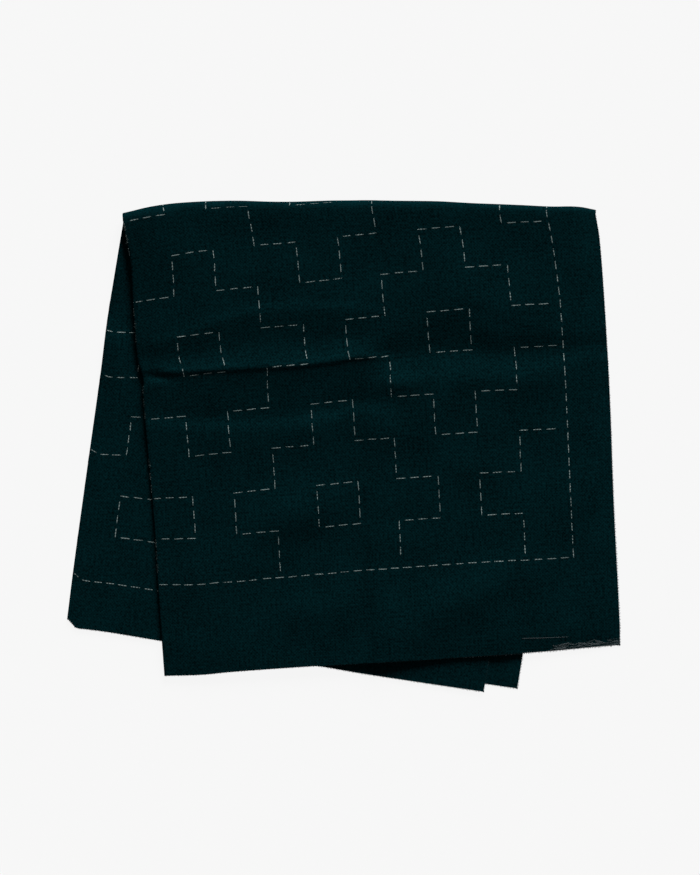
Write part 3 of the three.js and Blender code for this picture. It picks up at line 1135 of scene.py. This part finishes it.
@dataclass(frozen=True)
class GuideLayout:
    """Where the printed guide's lines stand on the cloth.

    Attributes:
        columns: rows of (grid line counted leftwards from the right side, across).
        rows: rows of (grid line counted upwards from the bottom, up).
        row_bow: rows of (grid line counted leftwards, added to up) of the print's slight bow.
        lean_share: rows of (grid line counted upwards, share) of the next table.
        upper_lean: rows of (grid line counted leftwards, added to across).
        rise_share: rows of (grid line counted upwards, share) of the next table.
        upper_rise: rows of (grid line counted leftwards, added to up).
        lines: how many units the grid is wide and high.
        unit: from one grid line to the next, outside the grid.
        border: how far the border stands outside the grid.
    """

    columns: Rows = (
        (0.0, 147.9),
        (1.0, 132.8),
        (3.0, 102.9),
        (4.0, 88.0),
        (5.0, 74.1),
        (9.0, 14.5),
        (10.0, 0.25),
        (11.0, -13.4),
        (19.0, -133.4),
    )
    rows: Rows = (
        (0.0, 34.9),
        (1.0, 49.1),
        (2.0, 63.8),
        (3.0, 78.1),
        (4.0, 92.4),
        (5.0, 106.5),
        (6.0, 120.5),
        (8.0, 149.4),
        (9.0, 164.1),
        (14.0, 244.5),
        (16.0, 272.3),
        (17.0, 286.7),
        (18.0, 301.4),
        (19.0, 315.7),
    )
    row_bow: Rows = ((0.0, 0.0), (2.0, 0.4), (5.0, 0.0), (8.0, -0.9), (9.0, -0.5), (10.0, 0.6))
    lean_share: Rows = ((6.0, 0.0), (8.0, 1.0), (10.0, 1.0), (11.0, 0.0))
    upper_lean: Rows = ((0.0, -1.6), (1.0, -0.8), (6.0, -0.7), (9.0, 0.0))
    rise_share: Rows = ((4.0, 0.0), (6.0, 1.0), (10.0, 1.0), (11.0, 0.0))
    upper_rise: Rows = ((0.0, 1.6), (1.0, 1.3), (2.0, 0.8), (3.0, 0.45), (5.0, 0.0))
    lines: int = 19
    unit: float = 15.0
    border: float = 2.2

    def place(self, i: Array, j: Array) -> tuple[Array, Array]:
        """Turns grid lines into a place on the cloth.

        Args:
            i: grid lines counted leftwards.
            j: grid lines counted upwards.

        Returns:
            Across and up.
        """
        past_i, past_j = (value - np.clip(value, 0, self.lines) for value in (i, j))
        lean = read_table(self.lean_share, j) * read_table(self.upper_lean, i)
        rise = read_table(self.rise_share, j) * read_table(self.upper_rise, i)
        across = read_table(self.columns, i) + lean - past_i * self.unit
        up = read_table(self.rows, j) + read_table(self.row_bow, i) + rise + past_j * self.unit
        return across, up


Span = tuple[tuple[float, float], tuple[float, float]]


@dataclass(frozen=True)
class SteppedDiamond:
    """The repeat: a diamond with stepped sides and a small square in its middle.

    Attributes:
        half_widths: half the width of each row of the diamond, from the bottom up.
        half_square: half the side of the small square.
        pitch_across: from one diamond to the next in a row.
        pitch_up: from one row of diamonds to the next, which stands half a pitch aside.
        first: middle of the first diamond.
    """

    half_widths: tuple[float, ...] = (0.5, 1.5, 2.5, 1.5, 0.5)
    half_square: float = 0.5
    pitch_across: float = 6.0
    pitch_up: float = 4.0
    first: tuple[float, float] = (-0.5, 1.5)

    def outline(self) -> list[tuple[float, float]]:
        """Corners of the diamond, clockwise seen from the printed side, about its middle."""
        top = len(self.half_widths) / 2
        right: list[tuple[float, float]] = []
        for k, half in enumerate(reversed(self.half_widths)):
            right += [(-half, top - k), (-half, top - k - 1)]
        left = [(-i, j) for i, j in reversed(right)]
        return right + left

    def square(self) -> list[tuple[float, float]]:
        """Corners of the small square, clockwise seen from the printed side."""
        half = self.half_square
        return [(-half, half), (-half, -half), (half, -half), (half, half)]

    def middles(self, lines: int) -> list[tuple[float, float]]:
        """Middles of all the diamonds that reach into the grid."""
        found = []
        reach = max(self.half_widths)
        for row in range(-1, math.ceil(lines / self.pitch_up) + 1):
            shift = self.pitch_across / 2 if row % 2 else 0.0
            for column in range(-1, math.ceil(lines / self.pitch_across) + 1):
                i = self.first[0] + shift + column * self.pitch_across
                j = self.first[1] + row * self.pitch_up
                if -reach < i < lines + reach and -reach < j < lines + reach:
                    found.append((i, j))
        return found

    def unit_sides(self, lines: int) -> list[Span]:
        """Every unit side of the pattern inside the grid, in the order that it is drawn.

        Args:
            lines: how many units the grid is wide and high.

        Returns:
            The start and end of each side.
        """
        sides = []
        for i, j in self.middles(lines):
            for loop in (self.outline(), self.square()):
                for start, end in zip(loop, loop[1:] + loop[:1]):
                    sides += self.split((i + start[0], j + start[1]), (i + end[0], j + end[1]))
        return [side for side in sides if self.inside(side, lines)]

    @staticmethod
    def split(start: tuple[float, float], end: tuple[float, float]) -> list[Span]:
        """Cuts a side into unit lengths."""
        count = round(abs(end[0] - start[0]) + abs(end[1] - start[1]))
        way = [(b - a) / max(count, 1) for a, b in zip(start, end)]
        steps = [(start[0] + way[0] * k, start[1] + way[1] * k) for k in range(count + 1)]
        return list(zip(steps, steps[1:]))

    @staticmethod
    def inside(side: Span, lines: int) -> bool:
        """Whether a side lies in the grid and not along its outer lines."""
        (i, j), (k, l) = side
        middle = ((i + k) / 2, (j + l) / 2)
        return all(0 < value < lines for value in middle)


@dataclass
class GuidePrint:
    """The guide for stitching: pale dashes printed on one side of the cloth.

    Attributes:
        grid: the folded middle surface.
        layout: where the guide's lines stand.
        diamond: the repeat.
        dash_share: length of a dash, as a share of a unit side.
        dash_starts: where the dashes start on a unit side.
        border_count: how many dashes each side of the border has.
        border_share: length of a border dash, as a share of the way to the next.
        line_width: width of the printed line.
        film: how high the ink stands over the weave.
        wander: how far a dash strays sideways. It strays twice as far in its length.
        width_spread: least and greatest width along a dash, as shares of the line's width.
        end_width: share of the width that is left at the ends of a dash.
        sections: places along a dash that it follows the cloth at.
        seed: start of the random numbers.
        name: the piece's name.
    """

    grid: SheetGrid
    layout: GuideLayout = field(default_factory=GuideLayout)
    diamond: SteppedDiamond = field(default_factory=SteppedDiamond)
    dash_share: float = 0.205
    dash_starts: tuple[float, ...] = (0.0, 0.325, 0.65)
    border_count: int = 61
    border_share: float = 0.65
    line_width: float = 0.29
    film: float = 0.05
    wander: float = 0.05
    width_spread: tuple[float, float] = (0.8, 1.15)
    end_width: float = 0.7
    sections: int = 5
    seed: int = 19
    name: str = "guide_print"

    def pattern_dashes(self) -> list[tuple[Array, Array]]:
        """Both ends of every dash of the diamonds and squares, on the cloth.

        Returns:
            Pairs of (across, up).
        """
        dashes = []
        for start, end in self.diamond.unit_sides(self.layout.lines):
            first, last = np.array(start), np.array(end)
            for at in self.dash_starts:
                ends = [first + (last - first) * share for share in (at, at + self.dash_share)]
                dashes.append(tuple(np.array(self.layout.place(*point)) for point in ends))
        return dashes

    def border_dashes(self) -> list[tuple[Array, Array]]:
        """Both ends of every dash of the border, on the cloth.

        Returns:
            Pairs of (across, up).
        """
        out = self.layout.border / self.layout.unit
        low, high = -out, self.layout.lines + out
        corners = [(low, low), (low, high), (high, high), (high, low)]
        dashes = []
        for start, end in zip(corners, corners[1:] + corners[:1]):
            first, last = np.array(start), np.array(end)
            for k in range(self.border_count):
                shares = (k / self.border_count, (k + self.border_share) / self.border_count)
                ends = [first + (last - first) * share for share in shares]
                dashes.append(tuple(np.array(self.layout.place(*point)) for point in ends))
        return dashes

    def build(self) -> bpy.types.Object:
        """Lays every dash on the printed face of the cloth.

        Returns:
            The piece.
        """
        random = np.random.default_rng(self.seed)
        ends = np.array(self.pattern_dashes() + self.border_dashes())
        way = ends[:, 1] - ends[:, 0]
        way = way / np.linalg.norm(way, axis=1, keepdims=True)
        aside = np.stack([-way[:, 1], way[:, 0]], axis=1)
        ends = ends + way[:, None] * random.normal(0, self.wander * 2, (len(ends), 2, 1))
        ends = ends + aside[:, None] * random.normal(0, self.wander, (len(ends), 2, 1))
        share = np.linspace(0.0, 1.0, self.sections)
        middle = ends[:, None, 0] * (1 - share)[:, None] + ends[:, None, 1] * share[:, None]
        width = self.line_width * random.uniform(*self.width_spread, (len(ends), self.sections))
        width[:, [0, -1]] *= self.end_width
        half = (width / 2)[..., None] * aside[:, None]
        strips = np.stack([middle - half, middle + half], axis=2)
        points, normals = self.grid.sample(strips[..., 0], strips[..., 1])
        lift = self.grid.form.stack.sheet / 2 + self.film
        points = points + normals * lift
        number = np.arange(points[..., 0].size).reshape(points.shape[:3])
        faces = np.stack(
            [number[:, :-1, 0], number[:, 1:, 0], number[:, 1:, 1], number[:, :-1, 1]], axis=-1
        ).reshape(-1, 4)
        piece = new_mesh(self.name, points.reshape(-1, 3), faces)
        set_map(piece, CLOTH_MAP, strips.reshape(-1, 2)[faces.ravel()])
        self.piece = piece
        return piece

    def dress(self, material: bpy.types.Material) -> None:
        """Gives the print its ink."""
        self.piece.data.materials.append(material)


@dataclass
class FrayedEdges:
    """Cut ends of the yarns along the four raw edges.

    Attributes:
        grid: the folded middle surface.
        pitch: from one yarn to the next.
        yarn: a yarn's thickness.
        rings: cross sections along a yarn end.
        sides: corners of a yarn's cross section.
        pale_from: depth of fraying from which the undyed core shows.
        pale_to: depth at which it shows fully.
        pale_least: how far it shows on every yarn.
        pale_spread: least and greatest share of that, from yarn to yarn.
        inside: how far a yarn end starts inside the weave.
        length_spread: least and greatest length, as shares of the depth of fraying.
        lean: how far the ends stray sideways.
        rise: how far they stray up or down.
        tip: thickness at the tip, as a share of the yarn's.
        loose_count: how many fibres lie loose along the frayed stretch of the lower edge.
        loose_across: the stretch that they lie on.
        loose_up: their middle distance above the edge and how far it strays.
        loose_length: their least and greatest length.
        loose_yarn: their thickness.
        loose_turn: how far they turn from the edge's direction, in radians.
        loose_least_up: least distance above the edge.
        loose_pale: least and greatest paleness.
        loose_margin: how far they stay inside the lower and the right edge.
        pulled: rows of (across, up, across, up) of the ends of single pulled threads.
        seed: start of the random numbers.
        name: the piece's name.
    """

    grid: SheetGrid
    pitch: float = 0.545
    yarn: float = 0.3
    rings: int = 3
    sides: int = 4
    pale_from: float = 0.25
    pale_to: float = 0.9
    pale_least: float = 0.12
    pale_spread: tuple[float, float] = (0.2, 1.0)
    inside: float = 0.4
    length_spread: tuple[float, float] = (0.55, 1.15)
    lean: float = 0.35
    rise: float = 0.15
    tip: float = 0.45
    loose_count: int = 90
    loose_across: tuple[float, float] = (141.0, 165.2)
    loose_up: tuple[float, float] = (1.0, 0.55)
    loose_length: tuple[float, float] = (1.2, 4.2)
    loose_yarn: float = 0.13
    loose_turn: float = 0.22
    loose_least_up: float = 0.4
    loose_pale: tuple[float, float] = (0.05, 0.6)
    loose_margin: tuple[float, float] = (0.15, 0.5)
    pulled: Rows = ((130.0, 5.65, 146.7, 4.95),)
    seed: int = 7
    name: str = "frayed_yarn_ends"

    def edge_places(self) -> list[tuple[Array, Array, Array, Array]]:
        """The raw edges, yarn by yarn.

        Returns:
            For each edge: across and up where a yarn leaves the weave, its way out on the cloth,
            and the depth of fraying there.
        """
        cut, fraying = self.grid.form.cut, self.grid.fraying
        along = np.arange(-cut.inner_leaf, cut.outer_leaf, self.pitch)
        height = np.arange(0.0, cut.length, self.pitch)
        lower, upper = read_table(fraying.lower, along), read_table(fraying.upper, along)
        right, left = read_table(fraying.right, height), read_table(fraying.left, height)
        ones = np.ones_like
        return [
            (along, lower, np.stack([0 * along, -ones(along)], 1), lower),
            (along, cut.length - upper, np.stack([0 * along, ones(along)], 1), upper),
            (cut.outer_leaf - right, height, np.stack([ones(height), 0 * height], 1), right),
            (left - cut.inner_leaf, height, np.stack([-ones(height), 0 * height], 1), left),
        ]

    def build(self) -> bpy.types.Object:
        """Makes every yarn end.

        Returns:
            The piece.
        """
        random = np.random.default_rng(self.seed)
        parts, shares = [], []
        for across, up, way, depth in self.edge_places():
            lines = self.yarn_lines(across, up, way, depth, random)
            parts.append(self.tubes(lines, self.yarn))
            pale = smooth((depth - self.pale_from) / (self.pale_to - self.pale_from))
            pale = self.pale_least + (1 - self.pale_least) * pale
            pale = pale * random.uniform(*self.pale_spread, len(depth))
            shares.append(np.repeat(pale, self.rings * self.sides))
        loose = self.loose_lines(random)
        parts.append(self.tubes(loose, self.loose_yarn))
        shares.append(np.repeat(random.uniform(*self.loose_pale, len(loose)), self.rings * self.sides))
        points = np.concatenate([part.reshape(-1, 3) for part in parts])
        yarns = sum(len(part) for part in parts)
        piece = new_mesh(self.name, points, self.tube_faces(yarns))
        attribute = piece.data.attributes.new(PALE_SHARE, "FLOAT", "POINT")
        attribute.data.foreach_set("value", np.concatenate(shares).astype(np.float32))
        self.piece = piece
        return piece

    def yarn_lines(
        self, across: Array, up: Array, way: Array, depth: Array, random: np.random.Generator
    ) -> Array:
        """Middle line of each yarn end, from just inside the weave outwards.

        Args:
            across: where the yarns leave the weave.
            up: where the yarns leave the weave.
            way: their way out on the cloth.
            depth: how far the weave has frayed there.
            random: the source of unevenness.

        Returns:
            Points by yarn and ring.
        """
        count = len(across)
        inside = self.inside
        start, normal = self.grid.sample(across - way[:, 0] * inside, up - way[:, 1] * inside)
        edge, _ = self.grid.sample(across, up)
        out = (edge - start) / np.linalg.norm(edge - start, axis=1, keepdims=True)
        aside = np.cross(normal, out)
        length = depth * random.uniform(*self.length_spread, count)
        lean = random.normal(0.0, self.lean, count)
        rise = random.normal(0.0, self.rise, count)
        share = np.linspace(0.0, 1.0, self.rings)
        reach = (inside + length[:, None] * share) * (share > 0)
        bend = (share**2 * length[:, None])[..., None]
        line = start[:, None] + out[:, None] * reach[..., None]
        line = line + aside[:, None] * lean[:, None, None] * bend
        return line + normal[:, None] * rise[:, None, None] * bend

    def loose_lines(self, random: np.random.Generator) -> Array:
        """Middle line of each loose fibre and pulled thread, which lie on the printed side.

        Args:
            random: the source of unevenness.

        Returns:
            Points by yarn and ring.
        """
        count = self.loose_count
        half = random.uniform(*self.loose_length, count) / 2
        across = random.uniform(*self.loose_across, count)
        turn = random.normal(0.0, self.loose_turn, count)
        up = np.abs(random.normal(*self.loose_up, count)) + self.loose_least_up
        run, climb = half * np.cos(turn), half * np.sin(turn)
        ends = np.stack([across - run, up - climb, across + run, up + climb], axis=1)
        ends = np.concatenate([ends, np.array(self.pulled)])
        share = np.linspace(0.0, 1.0, self.rings)
        places = ends[:, None, :2] * (1 - share)[:, None] + ends[:, None, 2:] * share[:, None]
        cut = self.grid.form.cut
        low, right = self.loose_margin
        places = np.clip(places, (low, low), (cut.outer_leaf - right, cut.length))
        points, normals = self.grid.sample(places[..., 0], places[..., 1])
        return points + normals * (self.grid.form.stack.sheet + self.loose_yarn) / 2

    def tubes(self, lines: Array, yarn: float) -> Array:
        """Rings of points round each yarn's middle line.

        Args:
            lines: points by yarn and ring.
            yarn: the yarn's thickness.

        Returns:
            Points by yarn, ring and corner.
        """
        ahead = np.gradient(lines, axis=1)
        ahead = ahead / np.linalg.norm(ahead, axis=-1, keepdims=True)
        above = np.broadcast_to(np.array([0.0, 0.0, 1.0]), ahead.shape)
        right = np.cross(ahead, above)
        right = right / np.maximum(np.linalg.norm(right, axis=-1, keepdims=True), 1e-6)
        above = np.cross(right, ahead)
        turn = 2 * math.pi * np.arange(self.sides) / self.sides
        taper = np.linspace(1.0, self.tip, self.rings)[:, None, None]
        ring = np.cos(turn)[:, None] * right[:, :, None] + np.sin(turn)[:, None] * above[:, :, None]
        return lines[:, :, None] + ring * taper * yarn / 2

    def tube_faces(self, yarns: int) -> Array:
        """Faces of all the yarns, their ends closed.

        Args:
            yarns: how many there are.

        Returns:
            Rows of four vertex numbers.
        """
        each = self.rings * self.sides
        number = np.arange(each).reshape(self.rings, self.sides)
        after = np.roll(number, -1, axis=1)
        walls = np.stack([number[:-1], number[1:], after[1:], after[:-1]], axis=-1).reshape(-1, 4)
        ends = np.stack([number[0], number[-1][::-1]])
        one = np.concatenate([walls, ends])
        return (one[None] + each * np.arange(yarns)[:, None, None]).reshape(-1, 4)

    def dress(self, material: bpy.types.Material) -> None:
        """Gives the yarns their finish."""
        self.piece.data.materials.append(material)


def add_node(
    tree: bpy.types.NodeTree,
    kind: str,
    settings: dict[str, object] | None = None,
    links: dict[str | int, object] | None = None,
) -> bpy.types.Node:
    """Adds a node to a tree.

    Args:
        tree: the node tree.
        kind: Blender's name for the kind of node.
        settings: values for the node's own properties.
        links: a value or another node's output for each input, by its name or number.

    Returns:
        The node.
    """
    node = tree.nodes.new(kind)
    for name, value in (settings or {}).items():
        setattr(node, name, value)
    for name, value in (links or {}).items():
        if isinstance(value, bpy.types.NodeSocket):
            tree.links.new(value, node.inputs[name])
        else:
            node.inputs[name].default_value = value
    return node


@dataclass(frozen=True)
class PlainWeave:
    """The plain weave of single cotton yarns, as numbers that a finish is made from.

    Attributes:
        pitch: from one yarn to the next, in millimetres.
        slub_length: how long a thicker stretch of a yarn is.
        patch_size: how wide the cloudiness of the dye is.
        grain_size: how wide the specks are that loose fibres make.
    """

    pitch: float = 0.545
    slub_length: float = 9.0
    patch_size: float = 14.0
    grain_size: float = 0.85

    def waves(self, tree: bpy.types.NodeTree) -> dict[str, bpy.types.NodeSocket]:
        """Adds the nodes of the weave.

        Args:
            tree: the material's nodes.

        Returns:
            Sockets from -1 to 1 for the crossing yarns, and from 0 to 1 for slubs and patches.
        """
        place = add_node(tree, "ShaderNodeUVMap", {"uv_map": CLOTH_MAP}).outputs["UV"]
        axes = add_node(tree, "ShaderNodeSeparateXYZ", links={0: place}).outputs
        turns = []
        for axis in ("X", "Y"):
            angle = add_node(
                tree, "ShaderNodeMath", {"operation": "MULTIPLY"}, {0: axes[axis], 1: math.pi / self.pitch}
            )
            turns.append(add_node(tree, "ShaderNodeMath", {"operation": "SINE"}, {0: angle.outputs[0]}))
        crossing = add_node(
            tree,
            "ShaderNodeMath",
            {"operation": "MULTIPLY"},
            {0: turns[0].outputs[0], 1: turns[1].outputs[0]},
        )
        slubs = []
        for scale in ((1 / self.pitch, 1 / self.slub_length), (1 / self.slub_length, 1 / self.pitch)):
            stretched = add_node(
                tree, "ShaderNodeMapping", links={"Vector": place, "Scale": (*scale, 1.0)}
            )
            noise = add_node(
                tree,
                "ShaderNodeTexNoise",
                {"noise_dimensions": "2D"},
                {"Vector": stretched.outputs[0], "Scale": 1.0, "Detail": 1.0},
            )
            slubs.append(noise.outputs["Fac"])
        mean = add_node(tree, "ShaderNodeMath", {"operation": "ADD"}, {0: slubs[0], 1: slubs[1]})
        half = add_node(tree, "ShaderNodeMath", {"operation": "MULTIPLY"}, {0: mean.outputs[0], 1: 0.5})
        patch = add_node(
            tree,
            "ShaderNodeTexNoise",
            {"noise_dimensions": "2D"},
            {"Vector": place, "Scale": 1 / self.patch_size, "Detail": 2.0},
        )
        grain = add_node(
            tree,
            "ShaderNodeTexNoise",
            {"noise_dimensions": "2D"},
            {"Vector": place, "Scale": 1 / self.grain_size, "Detail": 1.0},
        )
        return {
            "crossing": crossing.outputs[0],
            "slubs": half.outputs[0],
            "patches": patch.outputs["Fac"],
            "grain": grain.outputs["Fac"],
        }


@dataclass(frozen=True)
class IndigoCotton:
    """Indigo-dyed cotton in a plain weave: nearly black, with the crowns where yarns cross painted lighter
    as a highlight and the hollows painted darker as shade.

    Attributes:
        weave: the plain weave.
        roughness: spun cotton scatters light widely.
        fuzz: share of light that the loose fibres catch at a glance along the cloth.
        fuzz_roughness: how widely those fibres scatter it.
        yarn_height: how far a crown stands over a hollow, in millimetres.
        crossing_share: how much the painted highlight on the crowns and the painted shade in the hollows of
            the crossing yarns change the tone.
        slub_share: the same for the slubs.
        patch_share: the same for the cloudiness of the dye.
        grain_share: the same for the specks of loose fibres.
        name: the finish's name.
    """

    weave: PlainWeave = field(default_factory=PlainWeave)
    roughness: float = 0.95
    fuzz: float = 0.12
    fuzz_roughness: float = 0.5
    yarn_height: float = 0.05
    crossing_share: float = 0.22
    slub_share: float = 0.9
    patch_share: float = 0.35
    grain_share: float = 1.3
    name: str = "Indigo plain-weave cotton"

    def material(self) -> bpy.types.Material:
        """Makes the finish.

        Returns:
            The material.
        """
        material = bpy.data.materials.new(self.name)
        material.use_nodes = True
        tree = material.node_tree
        shader = tree.nodes["Principled BSDF"]
        waves = self.weave.waves(tree)
        # Painted light and shade of the weave: the crossing yarns' crowns are painted lighter and their
        # hollows darker; slubs, patches and grain add the dye's random tone.
        tone = add_node(
            tree,
            "ShaderNodeMath",
            {"operation": "MULTIPLY_ADD"},
            {0: waves["crossing"], 1: self.crossing_share, 2: 0.5},
        ).outputs[0]
        for key, share in (
            ("slubs", self.slub_share),
            ("patches", self.patch_share),
            ("grain", self.grain_share),
        ):
            middle = add_node(tree, "ShaderNodeMath", {"operation": "SUBTRACT"}, {0: waves[key], 1: 0.5})
            tone = add_node(
                tree,
                "ShaderNodeMath",
                {"operation": "MULTIPLY_ADD"},
                {0: middle.outputs[0], 1: share, 2: tone},
            ).outputs[0]
        # The mix runs from the painted-shade hollow colour to the partly lit crown colour; the same tone
        # also drives the bump.
        colour = add_node(
            tree,
            "ShaderNodeMix",
            {"data_type": "RGBA"},
            {"Factor": tone, 6: linear(Tint.INDIGO_DARK_TONE_AND_SHADE), 7: linear(Tint.INDIGO_DYE_AND_LIT_CROWN)},
        )
        bump = add_node(
            tree,
            "ShaderNodeBump",
            links={"Strength": 1.0, "Distance": self.yarn_height * METRES, "Height": tone},
        )
        tree.links.new(colour.outputs[2], shader.inputs["Base Color"])
        tree.links.new(bump.outputs[0], shader.inputs["Normal"])
        shader.inputs["Roughness"].default_value = self.roughness
        shader.inputs["Specular IOR Level"].default_value = 0.0
        shader.inputs["Sheen Weight"].default_value = self.fuzz
        shader.inputs["Sheen Roughness"].default_value = self.fuzz_roughness
        shader.inputs["Sheen Tint"].default_value = linear(Tint.INDIGO_FUZZ)
        return material


@dataclass(frozen=True)
class FrayedYarn:
    """Ends of the same cotton yarn: dyed outside, pale in the core where they have opened.

    Attributes:
        roughness: spun cotton scatters light widely.
        fuzz: share of light that the loose fibres catch.
        name: the finish's name.
    """

    roughness: float = 0.95
    fuzz: float = 0.12
    name: str = "Frayed indigo cotton yarn"

    def material(self) -> bpy.types.Material:
        """Makes the finish.

        Returns:
            The material.
        """
        material = bpy.data.materials.new(self.name)
        material.use_nodes = True
        tree = material.node_tree
        shader = tree.nodes["Principled BSDF"]
        pale = add_node(tree, "ShaderNodeAttribute", {"attribute_name": PALE_SHARE}).outputs["Fac"]
        colour = add_node(
            tree,
            "ShaderNodeMix",
            {"data_type": "RGBA"},
            {"Factor": pale, 6: linear(Tint.INDIGO_DYE_AND_LIT_CROWN), 7: linear(Tint.UNDYED_CORE)},
        )
        tree.links.new(colour.outputs[2], shader.inputs["Base Color"])
        shader.inputs["Roughness"].default_value = self.roughness
        shader.inputs["Specular IOR Level"].default_value = 0.0
        shader.inputs["Sheen Weight"].default_value = self.fuzz
        shader.inputs["Sheen Tint"].default_value = linear(Tint.INDIGO_FUZZ)
        return material


@dataclass(frozen=True)
class GuideInk:
    """Pale screen-printing ink: it sits on the crowns of the yarns, so that each line is broken.

    Attributes:
        weave: the plain weave that the ink sits on.
        roughness: the ink is matt.
        crossing_share: how much more ink the crowns hold than the hollows.
        slub_share: the same for the slubs.
        cover: share of the ink's colour that shows on a middling yarn.
        name: the finish's name.
    """

    weave: PlainWeave = field(default_factory=PlainWeave)
    roughness: float = 0.9
    crossing_share: float = 0.45
    slub_share: float = 1.4
    cover: float = 0.57
    name: str = "Pale guide printing ink"

    def material(self) -> bpy.types.Material:
        """Makes the finish.

        Returns:
            The material.
        """
        material = bpy.data.materials.new(self.name)
        material.use_nodes = True
        tree = material.node_tree
        shader = tree.nodes["Principled BSDF"]
        waves = self.weave.waves(tree)
        tone = add_node(
            tree,
            "ShaderNodeMath",
            {"operation": "MULTIPLY_ADD"},
            {0: waves["crossing"], 1: self.crossing_share, 2: self.cover},
        ).outputs[0]
        middle = add_node(tree, "ShaderNodeMath", {"operation": "SUBTRACT"}, {0: waves["slubs"], 1: 0.5})
        tone = add_node(
            tree,
            "ShaderNodeMath",
            {"operation": "MULTIPLY_ADD", "use_clamp": True},
            {0: middle.outputs[0], 1: self.slub_share, 2: tone},
        ).outputs[0]
        colour = add_node(
            tree,
            "ShaderNodeMix",
            {"data_type": "RGBA"},
            {"Factor": tone, 6: linear(Tint.INDIGO_DYE_AND_LIT_CROWN), 7: linear(Tint.GUIDE_INK)},
        )
        tree.links.new(colour.outputs[2], shader.inputs["Base Color"])
        shader.inputs["Roughness"].default_value = self.roughness
        shader.inputs["Specular IOR Level"].default_value = 0.0
        return material


@dataclass
class Studio:
    """A pale floor, a soft low lamp from the upper right and a camera straight above.

    Attributes:
        floor_size: side of the floor.
        glow: share of the floor's brightness that doesn't depend on the lamps.
        floor_albedo: share of the lamps' light that the floor sends back.
        lamp_from: direction that the lamp stands in.
        lamp_power: the lamp's strength.
        lamp_spread: how wide the lamp seems, in degrees.
        fill: strength of the light from all round.
        camera_height: camera above the surface, in metres.
        sensor: width of the camera's sensor.
        field_width: width of the picture on the surface, in millimetres.
        aim: middle of the picture on the surface, in millimetres.
    """

    floor_size: float = 4.0
    glow: float = 0.899
    floor_albedo: float = 0.05
    lamp_from: tuple[float, float, float] = (0.26, 0.84, 0.38)
    lamp_power: float = 3.96
    lamp_spread: float = 26.0
    fill: float = 0.13
    camera_height: float = 2.0
    sensor: float = 36.0
    field_width: float = 254.2
    aim: tuple[float, float] = (2.2, 3.3)

    def build(self) -> bpy.types.Object:
        """Sets up the floor, the lights and the camera.

        Returns:
            The floor.
        """
        bpy.ops.object.select_all(action="DESELECT")
        bpy.ops.mesh.primitive_plane_add(size=self.floor_size, location=(0.0, 0.0, 0.0))
        floor = bpy.context.object
        floor.name = "pale_floor"
        floor.data.materials.append(self.floor_material())
        bpy.ops.object.light_add(type="SUN", location=self.lamp_from)
        lamp = bpy.context.object
        lamp.rotation_euler = Vector(self.lamp_from).to_track_quat("Z", "Y").to_euler()
        lamp.data.energy = self.lamp_power
        lamp.data.angle = math.radians(self.lamp_spread)
        world = bpy.data.worlds.new("Soft studio")
        world.use_nodes = True
        world.node_tree.nodes["Background"].inputs["Color"].default_value = (1.0, 1.0, 1.0, 1.0)
        world.node_tree.nodes["Background"].inputs["Strength"].default_value = self.fill
        bpy.context.scene.world = world
        self.add_camera()
        view = bpy.context.scene.view_settings
        view.view_transform = "Standard"
        view.look = "None"
        return floor

    def floor_material(self) -> bpy.types.Material:
        """Matt white board, lit partly from below so that shadows on it stay faint.

        Returns:
            The material.
        """
        material = bpy.data.materials.new("Matt white board")
        material.use_nodes = True
        shader = material.node_tree.nodes["Principled BSDF"]
        shade = self.floor_albedo
        shader.inputs["Base Color"].default_value = (shade, shade, shade, 1.0)
        shader.inputs["Roughness"].default_value = 1.0
        shader.inputs["Specular IOR Level"].default_value = 0.0
        shader.inputs["Emission Color"].default_value = (1.0, 1.0, 1.0, 1.0)
        shader.inputs["Emission Strength"].default_value = self.glow
        return material

    def add_camera(self) -> None:
        """Adds the camera straight above the middle of the picture."""
        x, y = (value * METRES for value in self.aim)
        bpy.ops.object.camera_add(location=(x, y, self.camera_height))
        camera = bpy.context.object
        camera.rotation_euler = (0.0, 0.0, 0.0)
        camera.data.sensor_fit = "HORIZONTAL"
        camera.data.sensor_width = self.sensor
        camera.data.lens = self.sensor * self.camera_height / (self.field_width * METRES)
        camera.data.clip_end = self.camera_height * 10
        bpy.context.scene.camera = camera


def report(piece: bpy.types.Object) -> None:
    """Logs a piece's name and size."""
    mesh = piece.data
    triangles = sum(len(face.vertices) - 2 for face in mesh.polygons)
    LOG.info("%s: %d triangles, %.1f x %.1f x %.1f mm", piece.name, triangles, *(piece.dimensions / METRES))


def main() -> None:
    """Builds the cloth, its print, its frayed edges and the studio."""
    logging.basicConfig(level=logging.INFO, format="%(message)s")
    grid = SheetGrid(FoldedForm(), Fraying())
    cloth = SamplerCloth(grid)
    guide = GuidePrint(grid)
    edges = FrayedEdges(grid)
    for part, finish in ((cloth, IndigoCotton()), (guide, GuideInk()), (edges, FrayedYarn())):
        piece = part.build()
        part.dress(finish.material())
        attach(piece, "root")
        report(piece)
    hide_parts(CAD_NODE)
    floor = Studio().build()
    cut = grid.form.cut
    cut.length * METRES


if __name__ == "__main__":
    main()
